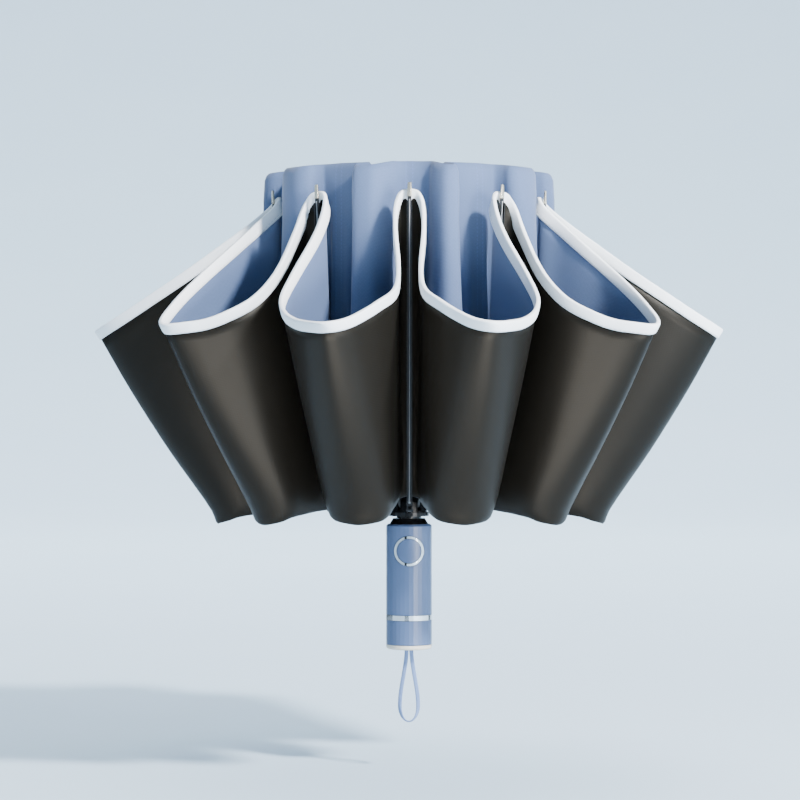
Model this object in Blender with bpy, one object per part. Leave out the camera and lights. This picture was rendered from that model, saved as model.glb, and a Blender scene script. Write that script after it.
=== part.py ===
# Folding umbrella with ten ribs that closes inside out, half open, its shaft pushed together.
# Metres, +Z up, origin on the shaft's axis at the underside of the grip.

import math

import bmesh
import bpy
from mathutils import Matrix, Vector

# Clearances that all pieces share
SEAT_GAP = 0.0003
RUNNING_GAP = 0.0004
CUT_OVERRUN = 0.001

# Grip, from the bottom up
GRIP_RADIUS = 0.0155
GRIP_WALL = 0.0022
GRIP_EDGE_ROUND = 0.0012
END_CAP_HEIGHT = 0.0030
END_CAP_ROUND = 0.0016
BASE_HEIGHT = 0.0163
BASE_FLOOR = 0.0032
SPIGOT_WALL = 0.0020
SPIGOT_HEIGHT = 0.0110
BAND_HEIGHT = 0.0034
BAND_PROUD = 0.0002
SHELL_HEIGHT = 0.0612
COLLAR_HEIGHT = 0.0036
COLLAR_TOP_RADIUS = 0.0108
COLLAR_LIP = 0.0030

# Button, its bezel, spring and latch plate
BUTTON_HEIGHT = 0.0670
BUTTON_RADIUS = 0.0082
BUTTON_THICKNESS = 0.0028
BUTTON_TRAVEL = 0.0020
BEZEL_WIDTH = 0.0016
BEZEL_DEPTH = 0.0024
BEZEL_PROUD = 0.0003
STEM_DROP = 0.0045
STEM_RADIUS = 0.0015
SPRING_RISE = 0.0038
SPRING_RADIUS = 0.0024
SPRING_WIRE_RADIUS = 0.0002
SPRING_TURNS = 5
POINTS_PER_TURN = 10
LATCH_WIDTH = 0.0030
LATCH_THICKNESS = 0.0012
LATCH_RISE = 0.0025
LATCH_DROP = 0.0160
LATCH_TOOTH_HEIGHT = 0.0030
LATCH_TOOTH_REACH = 0.0016
WINDOW_MARGIN = 0.0008

# Telescoping shaft
SHAFT_RADIUS = 0.0055
TUBE_WALL = 0.0004
TUBE_STEP = 0.0009
INNER_TUBE_LENGTH = 0.1950
MIDDLE_TOP_STEP = 0.0122
OUTER_TOP_STEP = 0.0169
MIDDLE_TUBE_BOTTOM = 0.0370
OUTER_TUBE_BOTTOM = 0.0400
HOLDER_SOCKET_HEIGHT = 0.0200
HOLDER_WALL = 0.0013
HOLDER_TOP = 0.0790

# Runner, which carries the inner ribs
RUNNER_HEIGHT = 0.0176
RUNNER_NECK_RADIUS = 0.0085
RUNNER_NECK_HEIGHT = 0.0013
RUNNER_FLANGE_RADIUS = 0.0136
RUNNER_FLANGE_HEIGHT = 0.0026
RUNNER_SKIRT_RADIUS = 0.0124
RUNNER_TOP_RADIUS = 0.0084
RUNNER_ROUND = 0.0026
RUNNER_TAPER = 0.0009
RUNNER_TOP_EDGE = 0.0006
HUB_PIVOT_RADIUS = 0.0096
RUNNER_PIVOT_RISE = 0.0045
HUB_SLOT_WIDTH = 0.0026
HUB_SLEEVE_WALL = 0.0012
HUB_SLOT_FLOOR = 0.0032

# Crown, which carries the stretchers
CROWN_RADIUS = 0.0122
CROWN_SKIRT = 0.0080
CROWN_CONE_TOP = 0.0040
CROWN_RISE = 0.0070
CROWN_ROOF = 0.0028
CAP_RADIUS = 0.0078
CAP_HEIGHT = 0.0062
CAP_STEM_RADIUS = 0.0026
CAP_STEM_LENGTH = 0.0040

# Ribs: the three hinge points out from the runner, and the tip, as radius and height
RIB_COUNT = 10
FRONT_RIB_ANGLE = -math.pi / 2
COLLAR_HINGE_RADIUS = 0.0720
COLLAR_HINGE_HEIGHT = 0.3120
FOOT_RADIUS = 0.0760
FOLD_HINGE_RADIUS = 0.0880
FOLD_HINGE_HEIGHT = 0.0980
TIP_RADIUS = 0.1055
TIP_HEIGHT = 0.3125
CHANNEL_WIDTH = 0.0034
CHANNEL_WALL = 0.0005
INNER_WEB_OFFSET = 0.0022
INNER_OPEN_OFFSET = 0.0016
OUTER_WEB_OFFSET = 0.0015
OUTER_OPEN_OFFSET = 0.0015
TONGUE_THICKNESS = 0.0018
TONGUE_HALF_HEIGHT = 0.0013
RUNNER_TONGUE_LENGTH = 0.0130
COLLAR_TONGUE_LENGTH = 0.0200
TONGUE_OVERLAP = 0.0030
PLUG_LEAD = 0.0015
PLUG_DROP = 0.0009
FOOT_PLUG_LENGTH = 0.0060
FOOT_PLUG_OVERRUN = 0.0011
RIVET_RADIUS = 0.0006
RIVET_CLEARANCE = 0.0003
RIVET_HALF_LENGTH = 0.0022
CHANNEL_END = 0.0020
WEB_NOTCH = 0.0026
NOTCH_DEPTH = 0.0030
TIP_CAP_RADIUS = 0.0019
TIP_CAP_END_RADIUS = 0.0015
TIP_CAP_LENGTH = 0.0095
TIP_CAP_OVERLAP = 0.0047
STRETCHER_REACH = 0.0500
STRETCHER_THICKNESS = 0.0015
STRETCHER_HALF_HEIGHT = 0.0015

# Canopy: a thin sheet drawn through rings, each from the rib to the middle of a lobe
CLOTH_THICKNESS = 0.0003
CLOTH_FOLD_WIDTH = 0.0050
COLLAR_FOLD_WIDTH = 0.0060
CLOTH_CENTRE_RADIUS = 0.0083
COLLAR_TOP_HEIGHT = 0.3260
COLLAR_RIB_DROP = 0.0050
COLLAR_RIB_RADIUS = 0.0785
COLLAR_LOBE_RADIUS = 0.0990
FOLD_RIB_RADIUS = 0.0842
FOLD_RIB_HEIGHT = 0.1080
FOLD_LOBE_RADIUS = 0.1380
FOLD_LOBE_HEIGHT = 0.0840
RIM_RIB_RADIUS = 0.0970
RIM_RIB_HEIGHT = 0.3110
RIM_LOBE_RADIUS = 0.2070
RIM_LOBE_HEIGHT = 0.2120
TRIM_WIDTH = 0.0075
TRIM_GAP = 0.0008
TRIM_THICKNESS = 0.0040

# Each row: share of the way out, share of the half pitch from the lobe's middle, share of the drop
COLLAR_LOBE_SHARES = (
    (0.00, 1.00, 0.00),
    (0.08, 0.86, 0.10),
    (0.50, 0.68, 0.45),
    (0.85, 0.46, 0.80),
    (0.97, 0.23, 0.95),
    (1.00, 0.00, 1.00),
)
FOLD_LOBE_SHARES = (
    (0.00, 1.00, 0.00),
    (0.04, 0.82, 0.06),
    (0.32, 0.70, 0.42),
    (0.65, 0.61, 0.80),
    (0.91, 0.36, 0.96),
    (1.00, 0.00, 1.00),
)
RIM_LOBE_SHARES = (
    (0.000, 1.000, 0.00),
    (0.023, 0.833, 0.03),
    (0.227, 0.817, 0.49),
    (0.573, 0.800, 0.79),
    (0.873, 0.450, 0.96),
    (1.000, 0.000, 1.00),
)

# Wrist strap: a free loop under the end cap
STRAP_RADIUS = 0.0012
STRAP_LEG_SPACING = 0.0015
STRAP_WIDEST = 0.0063
STRAP_WIDEST_DEPTH = 0.0400
STRAP_LENGTH_DOWN = 0.0500
STRAP_POINTS_PER_HALF = 12
ANCHOR_HEAD_RADIUS = 0.0036
ANCHOR_HEAD_HEIGHT = 0.0010
ANCHOR_RECESS = 0.0003
ANCHOR_SHANK_RADIUS = 0.0024
ANCHOR_SHANK_LENGTH = 0.0058

# Facets
ROUND_SIDES = 32
PATCH_SIDES = 64
TUBE_SIDES = 24
TIP_SIDES = 10
SMALL_SIDES = 8
ARC_STEPS = 4
STRAP_BEVEL_SEGMENTS = 2
SMOOTH_ANGLE = math.radians(35)

# Heights that follow from the stack above
BASE_BOTTOM = END_CAP_HEIGHT + SEAT_GAP
BASE_TOP = BASE_BOTTOM + BASE_HEIGHT
BAND_BOTTOM = BASE_TOP + SEAT_GAP
BAND_TOP = BAND_BOTTOM + BAND_HEIGHT
SHELL_BOTTOM = BAND_TOP + SEAT_GAP
SHELL_TOP = SHELL_BOTTOM + SHELL_HEIGHT
COLLAR_BOTTOM = SHELL_TOP + SEAT_GAP
COLLAR_TOP = COLLAR_BOTTOM + COLLAR_HEIGHT
RUNNER_BOTTOM = COLLAR_TOP + SEAT_GAP
RUNNER_TOP = RUNNER_BOTTOM + RUNNER_HEIGHT
FLANGE_TOP = RUNNER_BOTTOM + RUNNER_NECK_HEIGHT + RUNNER_FLANGE_HEIGHT
RUNNER_PIVOT_HEIGHT = FLANGE_TOP + RUNNER_PIVOT_RISE
INNER_TUBE_BOTTOM = BASE_BOTTOM + BASE_FLOOR + SEAT_GAP
INNER_TUBE_TOP = INNER_TUBE_BOTTOM + INNER_TUBE_LENGTH
MIDDLE_TUBE_TOP = INNER_TUBE_TOP + MIDDLE_TOP_STEP
OUTER_TUBE_TOP = MIDDLE_TUBE_TOP + OUTER_TOP_STEP
CROWN_TOP = OUTER_TUBE_TOP + SEAT_GAP + CROWN_ROOF
CROWN_PIVOT_HEIGHT = CROWN_TOP - CROWN_RISE
CROWN_BOTTOM = CROWN_PIVOT_HEIGHT - CROWN_SKIRT
STEM_HEIGHT = BUTTON_HEIGHT - STEM_DROP
LATCH_BOTTOM = STEM_HEIGHT - LATCH_DROP
RECESS_DEPTH = ANCHOR_RECESS + ANCHOR_HEAD_HEIGHT + SEAT_GAP

# Radii that follow
GRIP_BORE = GRIP_RADIUS - GRIP_WALL
SPIGOT_RADIUS = GRIP_BORE - SEAT_GAP
SPIGOT_BORE = SPIGOT_RADIUS - SPIGOT_WALL
MIDDLE_TUBE_RADIUS = SHAFT_RADIUS - TUBE_STEP
INNER_TUBE_RADIUS = MIDDLE_TUBE_RADIUS - TUBE_STEP
HUB_BORE = SHAFT_RADIUS + SEAT_GAP
HOLDER_BORE = SHAFT_RADIUS + RUNNING_GAP
HOLDER_RADIUS = HOLDER_BORE + HOLDER_WALL
LATCH_BACK = HOLDER_RADIUS + BUTTON_TRAVEL + SEAT_GAP
LATCH_FRONT = LATCH_BACK + LATCH_THICKNESS
ANCHOR_BORE = ANCHOR_SHANK_RADIUS + SEAT_GAP

# Hinge points in the plane of a rib, as (radius, height)
RUNNER_PIVOT = Vector((HUB_PIVOT_RADIUS, RUNNER_PIVOT_HEIGHT))
CROWN_PIVOT = Vector((HUB_PIVOT_RADIUS, CROWN_PIVOT_HEIGHT))
COLLAR_HINGE = Vector((COLLAR_HINGE_RADIUS, COLLAR_HINGE_HEIGHT))
FOOT_CORNER = Vector((FOOT_RADIUS, FOLD_HINGE_HEIGHT))
FOLD_HINGE = Vector((FOLD_HINGE_RADIUS, FOLD_HINGE_HEIGHT))
RIB_TIP = Vector((TIP_RADIUS, TIP_HEIGHT))
INNER_DIRECTION = (COLLAR_HINGE - RUNNER_PIVOT).normalized()
STRETCHER_END = RUNNER_PIVOT + STRETCHER_REACH * INNER_DIRECTION


def clear_scene():
    for item in list(bpy.data.objects):
        bpy.data.objects.remove(item, do_unlink=True)


def make_material(name, colour, roughness, metallic=0.0):
    material = bpy.data.materials.new(name)
    material.use_nodes = True
    shader = material.node_tree.nodes["Principled BSDF"]
    shader.inputs["Base Color"].default_value = (*colour, 1.0)
    shader.inputs["Roughness"].default_value = roughness
    shader.inputs["Metallic"].default_value = metallic
    return material


def mesh_from(bm, name):
    bmesh.ops.recalc_face_normals(bm, faces=bm.faces)
    mesh = bpy.data.meshes.new(name)
    bm.to_mesh(mesh)
    bm.free()
    return mesh


def place(name, mesh, material, turn=0.0):
    if not mesh.materials:
        mesh.materials.append(material)
        mesh.shade_smooth()
        mesh.set_sharp_from_angle(angle=SMOOTH_ANGLE)
    item = bpy.data.objects.new(name, mesh)
    item.rotation_euler = (0, 0, turn)
    bpy.context.scene.collection.objects.link(item)
    return item


# Turns a profile of (radius, height) points round the shaft's axis
def turned_mesh(name, profile, sides=ROUND_SIDES):
    bm = bmesh.new()
    verts = [bm.verts.new((radius, 0, height)) for radius, height in profile]
    edges = [bm.edges.new(pair) for pair in zip(verts, verts[1:])]
    if profile[0][0] > 0:
        edges.append(bm.edges.new((verts[-1], verts[0])))
    bmesh.ops.spin(
        bm, geom=verts + edges, cent=(0, 0, 0), axis=(0, 0, 1),
        angle=math.tau, steps=sides, use_merge=True,
    )
    if profile[0][0] == 0:
        on_axis = [vert for vert in bm.verts if vert.co.xy.length < SEAT_GAP]
        bmesh.ops.remove_doubles(bm, verts=on_axis, dist=SEAT_GAP / 2)
    return mesh_from(bm, name)


# Angles of a quarter turn, for round edges
def quarter_turn():
    return [math.pi / 2 * step / ARC_STEPS for step in range(ARC_STEPS + 1)]


# Extrudes an outline of (radius, height) points across the plane of a rib
def plate_mesh(name, outline, across_low, across_high):
    bm = bmesh.new()
    near = [bm.verts.new((point[0], across_low, point[1])) for point in outline]
    face = bm.faces.new(near)
    grown = bmesh.ops.extrude_face_region(bm, geom=[face])
    far = [part for part in grown["geom"] if isinstance(part, bmesh.types.BMVert)]
    bmesh.ops.translate(bm, verts=far, vec=(0, across_high - across_low, 0))
    return mesh_from(bm, name)


# A round bar across the plane of a rib
def cross_bar_mesh(name, centre, radius, across_low, across_high, sides=SMALL_SIDES):
    steps = [math.tau * (step + 0.5) / sides for step in range(sides)]
    outline = [
        (centre[0] + radius * math.cos(angle), centre[1] + radius * math.sin(angle))
        for angle in steps
    ]
    return plate_mesh(name, outline, across_low, across_high)


# A bar with round ends, in the plane of a rib
def link_outline(start, end, half_height, round_start=True, round_end=True):
    along = (end - start).normalized()
    side = Vector((-along[1], along[0]))
    outline = []
    for centre, direction, is_round in ((start, -along, round_start), (end, along, round_end)):
        turn = side if centre is start else -side
        if is_round:
            for step in range(ARC_STEPS + 1):
                angle = math.pi * step / ARC_STEPS
                outline.append(centre + half_height * (math.cos(angle) * turn + math.sin(angle) * direction))
        else:
            outline.append(centre + half_height * turn)
            outline.append(centre - half_height * turn)
    return outline


# A rib rolled from sheet: two flanges and a web, the web on the side that web_side points to
def channel_mesh(name, start, end, web_side, web_offset, open_offset):
    half = CHANNEL_WIDTH / 2
    inner = half - CHANNEL_WALL
    web_inside = web_offset - CHANNEL_WALL
    section = (
        (-half, -open_offset), (-half, web_offset), (half, web_offset), (half, -open_offset),
        (inner, -open_offset), (inner, web_inside), (-inner, web_inside), (-inner, -open_offset),
    )
    bm = bmesh.new()
    ring = []
    for across, depth in section:
        point = start + depth * web_side
        ring.append(bm.verts.new((point[0], across, point[1])))
    face = bm.faces.new(ring)
    grown = bmesh.ops.extrude_face_region(bm, geom=[face])
    far = [part for part in grown["geom"] if isinstance(part, bmesh.types.BMVert)]
    run = end - start
    bmesh.ops.translate(bm, verts=far, vec=(run[0], 0, run[1]))
    return mesh_from(bm, name)


# Joins or cuts one mesh with another and gives back the result
def combined(base, tool, operation):
    body = bpy.data.objects.new("body", base)
    other = bpy.data.objects.new("other", tool)
    for item in (body, other):
        bpy.context.scene.collection.objects.link(item)
    modifier = body.modifiers.new("combine", "BOOLEAN")
    modifier.operation = operation
    modifier.object = other
    evaluated = body.evaluated_get(bpy.context.evaluated_depsgraph_get())
    result = bpy.data.meshes.new_from_object(evaluated)
    for item in (body, other):
        bpy.data.objects.remove(item, do_unlink=True)
    return result


def turned_copy(mesh, angle):
    copy = mesh.copy()
    copy.transform(Matrix.Rotation(angle, 4, "Z"))
    return copy


# Round bar along the front-to-back axis, for the button and what surrounds it
def depth_bar_mesh(name, radius, height, front, back, sides=ROUND_SIDES):
    bm = bmesh.new()
    bmesh.ops.create_cone(
        bm, cap_ends=True, segments=sides, radius1=radius, radius2=radius, depth=back - front,
        matrix=Matrix.Translation((0, (front + back) / 2, height)) @ Matrix.Rotation(math.pi / 2, 4, "X"),
    )
    return mesh_from(bm, name)


def make_grip(blue, chrome, cream, black):
    shell = turned_mesh("grip_shell", (
        (GRIP_BORE, SHELL_BOTTOM),
        (GRIP_RADIUS, SHELL_BOTTOM),
        (GRIP_RADIUS, SHELL_TOP - GRIP_EDGE_ROUND),
        (GRIP_RADIUS - GRIP_EDGE_ROUND, SHELL_TOP),
        (GRIP_BORE, SHELL_TOP),
    ))
    hole = depth_bar_mesh(
        "button_hole", BUTTON_RADIUS + BEZEL_WIDTH + 2 * SEAT_GAP, BUTTON_HEIGHT, -GRIP_RADIUS - CUT_OVERRUN, 0,
    )
    place("grip_shell", combined(shell, hole, "DIFFERENCE"), blue)

    base = turned_mesh("grip_base", (
        (ANCHOR_BORE, BASE_BOTTOM),
        (GRIP_RADIUS, BASE_BOTTOM),
        (GRIP_RADIUS, BASE_TOP),
        (SPIGOT_RADIUS, BASE_TOP),
        (SPIGOT_RADIUS, BASE_TOP + SPIGOT_HEIGHT),
        (SPIGOT_BORE, BASE_TOP + SPIGOT_HEIGHT),
        (SPIGOT_BORE, BASE_BOTTOM + BASE_FLOOR),
        (ANCHOR_BORE, BASE_BOTTOM + BASE_FLOOR),
    ))
    place("grip_base", base, blue)

    band = turned_mesh("grip_band", (
        (SPIGOT_RADIUS + SEAT_GAP, BAND_BOTTOM),
        (GRIP_RADIUS + BAND_PROUD, BAND_BOTTOM),
        (GRIP_RADIUS + BAND_PROUD, BAND_TOP),
        (SPIGOT_RADIUS + SEAT_GAP, BAND_TOP),
    ))
    place("grip_band", band, chrome)

    corner = GRIP_RADIUS - END_CAP_ROUND
    recess = ANCHOR_HEAD_RADIUS + SEAT_GAP
    cap = turned_mesh("end_cap", [(recess, 0)] + [
        (corner + END_CAP_ROUND * math.sin(angle), END_CAP_ROUND * (1 - math.cos(angle)))
        for angle in quarter_turn()
    ] + [
        (GRIP_RADIUS, END_CAP_HEIGHT), (ANCHOR_BORE, END_CAP_HEIGHT),
        (ANCHOR_BORE, RECESS_DEPTH), (recess, RECESS_DEPTH),
    ])
    place("end_cap", cap, cream)

    collar = turned_mesh("handle_collar", (
        (HOLDER_BORE, COLLAR_BOTTOM - COLLAR_LIP),
        (GRIP_BORE - SEAT_GAP, COLLAR_BOTTOM - COLLAR_LIP),
        (GRIP_BORE - SEAT_GAP, COLLAR_BOTTOM),
        (COLLAR_TOP_RADIUS, COLLAR_TOP),
        (HOLDER_BORE, COLLAR_TOP),
    ))
    place("handle_collar", collar, black)


# Part of a round wall, cut out by a round bar that comes from the front
def wall_patch_mesh(name, inner_radius, outer_radius, bar):
    reach = BUTTON_RADIUS + BEZEL_WIDTH + CUT_OVERRUN
    wall = turned_mesh(name, (
        (inner_radius, BUTTON_HEIGHT - reach),
        (outer_radius, BUTTON_HEIGHT - reach),
        (outer_radius, BUTTON_HEIGHT + reach),
        (inner_radius, BUTTON_HEIGHT + reach),
    ), PATCH_SIDES)
    return combined(wall, bar, "INTERSECT")


def make_button(blue, chrome, steel):
    front = -GRIP_RADIUS - CUT_OVERRUN
    bezel_inner = BUTTON_RADIUS + SEAT_GAP
    ring = depth_bar_mesh("bezel_ring", bezel_inner + BEZEL_WIDTH, BUTTON_HEIGHT, front, 0)
    bore = depth_bar_mesh("bezel_bore", bezel_inner, BUTTON_HEIGHT, front - CUT_OVERRUN, CUT_OVERRUN)
    bezel = wall_patch_mesh(
        "button_bezel", GRIP_RADIUS - BEZEL_DEPTH, GRIP_RADIUS + BEZEL_PROUD,
        combined(ring, bore, "DIFFERENCE"),
    )
    place("button_bezel", bezel, chrome)

    back_radius = GRIP_RADIUS - BUTTON_THICKNESS
    disc = wall_patch_mesh(
        "push_button", back_radius, GRIP_RADIUS,
        depth_bar_mesh("button_bar", BUTTON_RADIUS, BUTTON_HEIGHT, front, 0),
    )
    stem = depth_bar_mesh(
        "stem", STEM_RADIUS, STEM_HEIGHT, -back_radius - BUTTON_THICKNESS / 2,
        -LATCH_FRONT - SEAT_GAP, SMALL_SIDES,
    )
    place("push_button", combined(disc, stem, "UNION"), blue)
    make_button_spring(back_radius, steel)


def make_button_spring(back_radius, steel):
    spring_front = -back_radius + SPRING_WIRE_RADIUS + SEAT_GAP
    spring_back = -HOLDER_RADIUS - SPRING_WIRE_RADIUS - SEAT_GAP
    count = SPRING_TURNS * POINTS_PER_TURN + 1
    curve = bpy.data.curves.new("button_spring", "CURVE")
    curve.dimensions = "3D"
    curve.bevel_depth = SPRING_WIRE_RADIUS
    curve.bevel_resolution = 1
    curve.use_fill_caps = True
    spline = curve.splines.new("POLY")
    spline.points.add(count - 1)
    for index in range(count):
        turn = math.tau * index / POINTS_PER_TURN
        depth = spring_front + (spring_back - spring_front) * index / (count - 1)
        spline.points[index].co = (
            SPRING_RADIUS * math.cos(turn), depth,
            BUTTON_HEIGHT + SPRING_RISE + SPRING_RADIUS * math.sin(turn), 1.0,
        )
    curve.materials.append(steel)
    spring = bpy.data.objects.new("button_spring", curve)
    bpy.context.scene.collection.objects.link(spring)


# Turns a plate drawn in the plane of a rib so that its plane runs front to back
def facing_front(mesh):
    mesh.transform(Matrix.Rotation(FRONT_RIB_ANGLE, 4, "Z"))
    return mesh


# Steel plate behind the button's stem; its tooth goes through the holder's window when pressed
def make_latch(steel):
    tooth_tip = LATCH_BACK - LATCH_TOOTH_REACH
    tooth_top = LATCH_BOTTOM + LATCH_TOOTH_HEIGHT
    outline = (
        (LATCH_FRONT, LATCH_BOTTOM), (LATCH_FRONT, STEM_HEIGHT + LATCH_RISE),
        (LATCH_BACK, STEM_HEIGHT + LATCH_RISE), (LATCH_BACK, tooth_top),
        (tooth_tip, tooth_top), (tooth_tip, LATCH_BOTTOM),
    )
    plate = plate_mesh("latch_plate", outline, -LATCH_WIDTH / 2, LATCH_WIDTH / 2)
    place("latch_plate", facing_front(plate), steel)


def make_shaft_holder(black):
    socket_top = INNER_TUBE_BOTTOM + HOLDER_SOCKET_HEIGHT
    tube_seat = INNER_TUBE_RADIUS + SEAT_GAP
    holder = turned_mesh("shaft_holder", (
        (tube_seat, INNER_TUBE_BOTTOM),
        (SPIGOT_BORE - SEAT_GAP, INNER_TUBE_BOTTOM),
        (SPIGOT_BORE - SEAT_GAP, socket_top),
        (HOLDER_RADIUS, socket_top + HOLDER_WALL),
        (HOLDER_RADIUS, HOLDER_TOP),
        (HOLDER_BORE, HOLDER_TOP),
        (HOLDER_BORE, socket_top),
        (tube_seat, socket_top),
    ))
    low = LATCH_BOTTOM - WINDOW_MARGIN
    high = LATCH_BOTTOM + LATCH_TOOTH_HEIGHT + WINDOW_MARGIN
    inside, outside = HOLDER_BORE / 2, HOLDER_RADIUS + CUT_OVERRUN
    half = LATCH_WIDTH / 2 + WINDOW_MARGIN
    window = plate_mesh("window", ((inside, low), (outside, low), (outside, high), (inside, high)), -half, half)
    place("shaft_holder", combined(holder, facing_front(window), "DIFFERENCE"), black)


def make_tube(name, radius, bottom, top, steel):
    tube = turned_mesh(name, (
        (radius - TUBE_WALL, bottom), (radius, bottom), (radius, top), (radius - TUBE_WALL, top),
    ), TUBE_SIDES)
    place(name, tube, steel)


def make_shaft(steel):
    make_tube("inner_tube", INNER_TUBE_RADIUS, INNER_TUBE_BOTTOM, INNER_TUBE_TOP, steel)
    make_tube("middle_tube", MIDDLE_TUBE_RADIUS, MIDDLE_TUBE_BOTTOM, MIDDLE_TUBE_TOP, steel)
    make_tube("outer_tube", SHAFT_RADIUS, OUTER_TUBE_BOTTOM, OUTER_TUBE_TOP, steel)


def rib_turns():
    return [FRONT_RIB_ANGLE + math.tau * index / RIB_COUNT for index in range(RIB_COUNT)]


# Cuts the slots and pin bores of a hub, each slot around the plane of one rib
def slotted_hub(hub, slot_outline, pivot, slot_offset):
    half = HUB_SLOT_WIDTH / 2
    slot = plate_mesh("slot", slot_outline, slot_offset - half, slot_offset + half)
    reach = RIVET_HALF_LENGTH + SEAT_GAP
    bore = cross_bar_mesh("bore", pivot, RIVET_RADIUS + RIVET_CLEARANCE, slot_offset - reach, slot_offset + reach)
    cutter = combined(slot, bore, "UNION")
    for turn in rib_turns():
        hub = combined(hub, turned_copy(cutter, turn), "DIFFERENCE")
    return hub


def make_runner(black):
    neck_top = RUNNER_BOTTOM + RUNNER_NECK_HEIGHT
    hub = turned_mesh("runner", (
        (HUB_BORE, RUNNER_BOTTOM),
        (RUNNER_NECK_RADIUS, RUNNER_BOTTOM),
        (RUNNER_NECK_RADIUS, neck_top),
        (RUNNER_FLANGE_RADIUS, neck_top),
        (RUNNER_FLANGE_RADIUS, FLANGE_TOP),
        (RUNNER_SKIRT_RADIUS, FLANGE_TOP),
        (RUNNER_SKIRT_RADIUS - RUNNER_TAPER, RUNNER_PIVOT_HEIGHT + RUNNER_ROUND),
        (RUNNER_TOP_RADIUS, RUNNER_TOP - RUNNER_ROUND),
        (RUNNER_TOP_RADIUS - RUNNER_TAPER, RUNNER_TOP - RUNNER_TAPER),
        (HUB_BORE + RUNNER_TOP_EDGE, RUNNER_TOP),
        (HUB_BORE, RUNNER_TOP),
    ))
    slot_inner = HUB_BORE + HUB_SLEEVE_WALL
    slot_outer = RUNNER_FLANGE_RADIUS + CUT_OVERRUN
    slot_floor = RUNNER_PIVOT_HEIGHT - HUB_SLOT_FLOOR
    slot_top = RUNNER_TOP + CUT_OVERRUN
    outline = (
        (slot_inner, slot_floor), (slot_outer, slot_floor), (slot_outer, slot_top), (slot_inner, slot_top),
    )
    place("runner", slotted_hub(hub, outline, RUNNER_PIVOT, slot_offset=0), black)


def stretcher_offset():
    return CHANNEL_WIDTH / 2 + SEAT_GAP + STRETCHER_THICKNESS / 2


def make_crown(black, blue):
    hub = turned_mesh("crown", (
        (HUB_BORE, CROWN_BOTTOM),
        (HUB_BORE + HUB_SLEEVE_WALL + SEAT_GAP, CROWN_BOTTOM),
        (CROWN_RADIUS, CROWN_PIVOT_HEIGHT - CROWN_CONE_TOP),
        (CROWN_RADIUS, CROWN_TOP - RUNNER_ROUND),
        (CROWN_RADIUS - RUNNER_ROUND, CROWN_TOP),
        (CAP_STEM_RADIUS + SEAT_GAP, CROWN_TOP),
        (CAP_STEM_RADIUS + SEAT_GAP, CROWN_TOP - CROWN_ROOF),
        (HUB_BORE, CROWN_TOP - CROWN_ROOF),
    ))
    slot_inner = HUB_BORE + HUB_SLEEVE_WALL
    slot_outer = CROWN_RADIUS + CUT_OVERRUN
    slot_top = CROWN_PIVOT_HEIGHT + HUB_SLOT_FLOOR
    slot_bottom = CROWN_BOTTOM - CUT_OVERRUN
    outline = (
        (slot_inner, slot_bottom), (slot_outer, slot_bottom), (slot_outer, slot_top), (slot_inner, slot_top),
    )
    place("crown", slotted_hub(hub, outline, CROWN_PIVOT, stretcher_offset()), black)

    cap_bottom = CROWN_TOP + SEAT_GAP
    cap = turned_mesh("crown_cap", [
        (0, CROWN_TOP - CAP_STEM_LENGTH),
        (CAP_STEM_RADIUS, CROWN_TOP - CAP_STEM_LENGTH),
        (CAP_STEM_RADIUS, cap_bottom),
    ] + [
        (CAP_RADIUS * math.cos(angle), cap_bottom + CAP_HEIGHT * math.sin(angle))
        for angle in quarter_turn()[:-1]
    ] + [(0, cap_bottom + CAP_HEIGHT)])
    place("crown_cap", cap, blue)


def side_of(direction):
    return Vector((-direction[1], direction[0]))


# Rib end that turns between two flanges or fins, with its rivet
def tongue_mesh(pivot, end):
    half = TONGUE_THICKNESS / 2
    tongue = plate_mesh(
        "tongue", link_outline(pivot, end, TONGUE_HALF_HEIGHT, round_end=False), -half, half,
    )
    pin = cross_bar_mesh("rivet", pivot, RIVET_RADIUS, -RIVET_HALF_LENGTH, RIVET_HALF_LENGTH)
    return combined(tongue, pin, "UNION")


# Holes through both flanges of a channel
def with_rivet_holes(channel, pivot):
    reach = CHANNEL_WIDTH
    hole = cross_bar_mesh("rivet_hole", pivot, RIVET_RADIUS + RIVET_CLEARANCE, -reach, reach)
    return combined(channel, hole, "DIFFERENCE")


# A tongue's root, wide enough to fill the channel that it is riveted in
def plug_mesh(start, end, web_side):
    half = (CHANNEL_WIDTH - CHANNEL_WALL) / 2
    lift = (INNER_WEB_OFFSET - CHANNEL_WALL / 2) * web_side
    drop = -PLUG_DROP * web_side
    outline = (start + drop, end + drop, end + lift, start + lift)
    return plate_mesh("plug", outline, -half, half)


def make_inner_ribs(steel):
    web_side = side_of(INNER_DIRECTION)
    start = RUNNER_PIVOT + RUNNER_TONGUE_LENGTH * INNER_DIRECTION
    end = COLLAR_HINGE + CHANNEL_END * INNER_DIRECTION
    channel = channel_mesh("inner_rib", start, end, web_side, INNER_WEB_OFFSET, INNER_OPEN_OFFSET)
    channel = with_rivet_holes(channel, COLLAR_HINGE)
    tongue_end = start + TONGUE_OVERLAP * INNER_DIRECTION
    rib = combined(channel, plug_mesh(start - PLUG_LEAD * INNER_DIRECTION, tongue_end, web_side), "UNION")
    rib = combined(rib, tongue_mesh(RUNNER_PIVOT, tongue_end), "UNION")
    place_ribs("inner_rib", rib, steel)


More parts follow.
